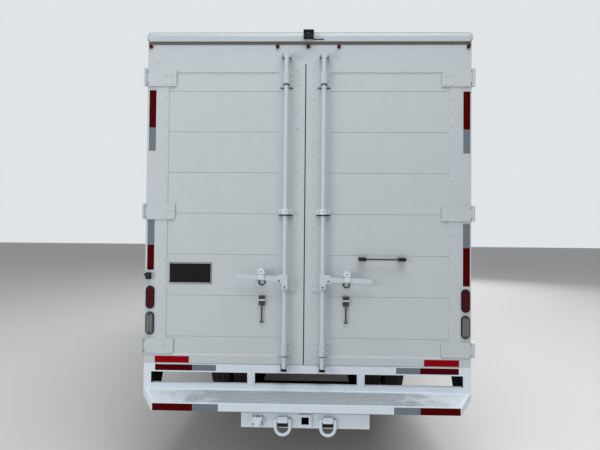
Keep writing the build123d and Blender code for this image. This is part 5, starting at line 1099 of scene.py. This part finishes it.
# Reflective tape: each strip has its colour and its spans along X and Z
red, silver = red_tape, silver_tape
left_post, right_post, sill_z, step_z = (-1.204, -1.152), (1.159, 1.210), (0.829, 0.874), (0.644, 0.692)
post_tapes = (
    (red, left_post, (2.657, 2.942)), (silver, left_post, (2.480, 2.657)),
    (silver, left_post, (1.769, 1.959)), (red, left_post, (1.580, 1.769)),
    (red, right_post, (2.650, 2.935)), (silver, right_post, (2.471, 2.650)),
    (silver, right_post, (1.767, 1.945)), (red, right_post, (1.482, 1.767)),
    (red, (-1.133, -0.853), sill_z), (silver, (-0.853, -0.673), sill_z),
    (red, (0.847, 1.131), sill_z), (silver, (0.669, 0.847), sill_z),
)
for number, (colour, x_span, z_span) in enumerate(post_tapes):
    tape(f"frame_tape_{number}", x_span, z_span, post_y, "chassis", colour)
step_tapes = ((red, (-1.050, -0.774)), (silver, (-0.774, -0.597)), (silver, (0.602, 0.780)),
              (red, (0.780, 1.050)))
for number, (colour, x_span) in enumerate(step_tapes):
    tape(f"step_tape_{number}", x_span, step_z, step_front_y, "chassis", colour)
for side, x_span in (("left", (-1.135, -0.878)), ("right", (0.874, 1.131))):
    tape(f"door_reflector_{side}", x_span, (0.889, 0.937), door_y, f"rear_door_{side}", bright_reflector, 0.002)

# Blank board on the left door, with a thin pale border
board_x = (-1.037, -0.715)
board_z = (1.482, 1.638)
border = 0.0035
border_x = (board_x[0] + 0.002, board_x[1] - 0.002)
border_z = (board_z[0] + 0.003, board_z[1] - 0.003)
border_y = (panel_y - 0.0056, panel_y - 0.004)
block("blank_board", (board_x[0], panel_y - 0.005, board_z[0]), (board_x[1], panel_y, board_z[1]),
      "rear_door_left", board_black, 0.001)
borders = [((border_x[0], border_y[0], z), (border_x[1], border_y[1], z + border))
           for z in (border_z[0], border_z[1] - border)]
borders += [((x, border_y[0], border_z[0]), (x + border, border_y[1], border_z[1]))
            for x in (border_x[0], border_x[1] - border)]
plain_boxes("board_border", borders, "rear_door_left", post_enamel)

# Plate lamp: a spout at its outer end, with a glint of its lens
lamp_z = 1.537
block("plate_lamp_spout", (-1.2215, post_y - 0.026, lamp_z + 0.001), (-1.207, post_y - 0.010, lamp_z + 0.015),
      "chassis", black_plastic, 0.003)
glint = (-1.186, post_y - 0.030, lamp_z + 0.006)
heads("plate_lamp_glint", dome_tree, [glint], "chassis", clear_lens, 0.005, 0.003)

# Camera on the roof cap: case, hood, eye, bracket and lead
case_low, case_high = (Vector(corner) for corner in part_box("rear_camera"))
case_low.z -= 0.006
case_high.z -= 0.032
case = block("camera_case", case_low, case_high, "chassis", black_plastic, 0.004)
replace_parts(case, "rear_camera")
block("camera_hood", (case_low.x - 0.001, case_low.y - 0.012, case_high.z - 0.010),
      (case_high.x + 0.001, case_high.y, case_high.z + 0.001), "chassis", black_plastic, 0.002)
# The bracket takes the lighter enamel of painted highlight
block("camera_bracket", (case_high.x, case_high.y - 0.004, case_low.z + 0.004),
      (case_high.x + 0.062, case_high.y, case_low.z + 0.042), "chassis", highlight_enamel, 0.001)
block("camera_lead", (case_high.x - 0.006, case_high.y - 0.010, case_low.z - 0.004),
      (case_high.x + 0.078, case_high.y - 0.002, case_low.z + 0.004), "chassis", black_plastic, 0.003)
eye = ((case_low.x + case_high.x) / 2, case_low.y, case_low.z + 0.032)
heads("camera_eye", dome_tree, [eye], "chassis", dark_glass, 0.013, 0.006)

# Lamps: rubber rings round the ovals, and rows of small lamps behind the clear lens
lamp_x = 1.178
clear_z = 1.180
row_pitch = 0.0165
for side, sign in sides:
    for kind, z in (("red", 1.375), ("clear", clear_z)):
        oval_ring(f"{kind}_lamp_ring_{side}", (sign * lamp_x, post_y, z), 0.0285, 0.0825, 0.004, 0.010)
    grid = [(dx, row * row_pitch + (0.008 if dx else 0)) for row in range(-4, 5) for dx in (-0.0145, 0, 0.0145)]
    dots = [(sign * lamp_x + dx, post_y - 0.0135, clear_z + dz) for dx, dz in grid if abs(dz) < 0.066]
    heads(f"lamp_dots_{side}", dome_tree, dots, "chassis", lamp_dot, 0.0056, 0.0022)

# Step: chequer plate with raised bars, inside a smooth rim
step_front_half = 1.058
rim_inset = 0.014
tread_z = step_top + 0.0008
tread_y = (step_front_y + rim_inset, post_y - 0.030)


def tread_half(y):
    """Half the width of the chequer plate at a distance along the truck."""
    return body_half - (post_y - y) * (body_half - step_front_half) / (post_y - step_front_y) - rim_inset


tread_outline = [(-tread_half(tread_y[1]), tread_y[1]), (-tread_half(tread_y[0]), tread_y[0]),
                 (tread_half(tread_y[0]), tread_y[0]), (tread_half(tread_y[1]), tread_y[1])]
slab("step_tread", tread_outline, 2, (step_top - 0.001, tread_z), "chassis", tread_plate)
bar_pitch = 0.026
bar_rows = int((tread_y[1] - tread_y[0]) / bar_pitch)
for side, lean, offset in (("left", 45, 0.0), ("right", -45, 0.5)):
    places = []
    for row in range(bar_rows):
        y = tread_y[0] + 0.012 + row * bar_pitch
        reach = tread_half(y) - 0.014
        start = (offset + (row % 2) * 0.5) * bar_pitch
        columns = int((reach - start) / bar_pitch)
        across = [start + column * bar_pitch for column in range(-columns - 1, columns + 1)]
        places += [(x, y, tread_z) for x in across if abs(x) < reach]
    raised_bars(f"tread_bars_{side}", places, (0.0170, 0.0042, 0.0024), lean, "chassis", tread_tops)

# Black sheets on the faces of the gussets and legs that stand over the step, painted shade under the body
leg_width = 0.057
gusset_thick = 0.006
beam_top = step_top + 0.0364
gusset_y = (post_y + 0.0390, post_y + 0.0396, post_y + 0.2055, post_y + 0.2755, post_y + 0.300)
gusset_outline = ((gusset_y[1], 0.6436), (gusset_y[1], 0.7705), (gusset_y[3], 0.7705), (gusset_y[2], 0.6436))
leg_outline = ((post_y + 0.0012, beam_top), (post_y + 0.0012, 0.8188), (gusset_y[4], 0.8188),
               (gusset_y[3], 0.7712), (gusset_y[0], 0.7712), (gusset_y[0], beam_top))
for side, sign in sides:
    leg_x = body_half - leg_width
    gusset_ends = [sign * x for x in (leg_x - gusset_thick - 0.0006, leg_x - 0.0002)]
    slab(f"gusset_shade_{side}", gusset_outline, 0, gusset_ends, "chassis", painted_shade)
    leg_ends = [sign * x for x in (leg_x - 0.0008, leg_x + 0.0002)]
    slab(f"leg_shade_{side}", leg_outline, 0, leg_ends, "chassis", painted_shade)

# Hitch: a dark block under each ring's clip and black sheets inside the receiver, both painted shade, and the
# trailer socket's gasket and bolts
clip_shades = [((x - 0.036, hitch_y - 0.012, 0.5305), (x + 0.036, hitch_y, 0.560)) for x in (-0.155, 0.157)]
plain_boxes("ring_clip_shades", clip_shades, "chassis", seal_rubber, 0.002)
receiver_z = 0.5725
receiver_half = 0.0255
shaded_half = receiver_half - 0.0004
shade_y = (hitch_y - 0.004, hitch_y + 0.320)
receiver_shades = [((sign * receiver_half, shade_y[0], receiver_z - receiver_half),
            (sign * shaded_half, shade_y[1], receiver_z + receiver_half)) for sign in (-1, 1)]
receiver_shades += [((-receiver_half, shade_y[0], receiver_z + sign * receiver_half),
             (receiver_half, shade_y[1], receiver_z + sign * shaded_half)) for sign in (-1, 1)]
plain_boxes("receiver_shade", receiver_shades, "chassis", painted_shade)
socket_x, socket_z = -0.328, 0.570
oval_ring("socket_gasket", (socket_x, hitch_y, socket_z), 0.0255, 0.0256, 0.005, 0.004)
bolts = [(socket_x + dx, hitch_y, socket_z + dz) for dx in (-0.034, 0.034) for dz in (-0.028, 0.028)]
heads("socket_bolts", bolt_tree, bolts, "chassis", zinc_steel, 0.005, 0.003)

# Floor, lights and camera
floor_grid = {"x_segments": 1, "y_segments": 1, "size": 60}
floor_mesh = mesh_from("studio_floor", lambda bm: bmesh.ops.create_grid(bm, **floor_grid))
linked("studio_floor", floor_mesh)
floor_mesh.materials.append(Look("pale_floor").finish(linear("D8D8D6"), Roughness=0.9))

# The sky is brighter where it is seen, mirrored or looked through than where it lights
world = bpy.data.worlds.new("studio")
bpy.context.scene.world = world
world.use_nodes = True
sky = world.node_tree
ray = add_node(sky, "ShaderNodeLightPath")
seen = ray.outputs["Is Camera Ray"]
for kind in ("Is Glossy Ray", "Is Transmission Ray"):
    seen = add_node(sky, "ShaderNodeMath", {0: seen, 1: ray.outputs[kind]}, operation="MAXIMUM").outputs[0]
strength = add_node(sky, "ShaderNodeMapRange", {"Value": seen, "To Min": 0.33, "To Max": 0.80})
set_inputs(sky, sky.nodes["Background"], {"Strength": strength.outputs[0], "Color": (0.94, 0.97, 1.0, 1.0)})


def soft_light(name, place, aim, size, power):
    """A large square lamp that looks at a point."""
    light = bpy.data.lights.new(name, "AREA")
    light.shape = "SQUARE"
    light.size = size
    light.energy = power
    lamp = linked(name, light)
    lamp.location = place
    lamp.rotation_euler = (Vector(aim) - Vector(place)).to_track_quat("-Z", "Y").to_euler()


soft_light("sky_light", (0.5, post_y - 2.6, 9.0), (0, post_y - 0.2, 1.6), 6.0, 465)
soft_light("rear_light", (-7.0, post_y - 6.0, 2.7), (0.3, post_y, 1.0), 4.0, 225)
soft_light("top_light", (4.0, 1.0, 11.0), (0, 1.0, 1.5), 9.0, 520)
soft_light("front_light", (5.0, 11.0, 6.0), (0, 3.0, 1.5), 6.0, 360)

# The camera stands where the photographer stood, a phone at eye height behind the doors
camera_place = Vector((0.0277, post_y - 3.372, 1.87))
yaw, pitch, roll = (math.radians(v) for v in (1.375, 0.975, 0.5207))
ahead = Vector((-math.sin(yaw), math.cos(yaw), 0))
level = Vector((math.cos(yaw), math.sin(yaw), 0))
look = math.cos(pitch) * ahead + math.sin(pitch) * upward
lifted = -math.sin(pitch) * ahead + math.cos(pitch) * upward
right = math.cos(roll) * level + math.sin(roll) * lifted
top = -math.sin(roll) * level + math.cos(roll) * lifted
camera = linked("camera", bpy.data.cameras.new("camera"))
camera.data.sensor_width = 36.0
camera.data.lens = 27.0
camera.data.clip_end = 200.0
camera.matrix_world = Matrix([(right[i], top[i], -look[i], camera_place[i]) for i in range(3)] + [(0, 0, 0, 1)])
bpy.context.scene.camera = camera
bpy.context.scene.view_settings.view_transform = "Standard"
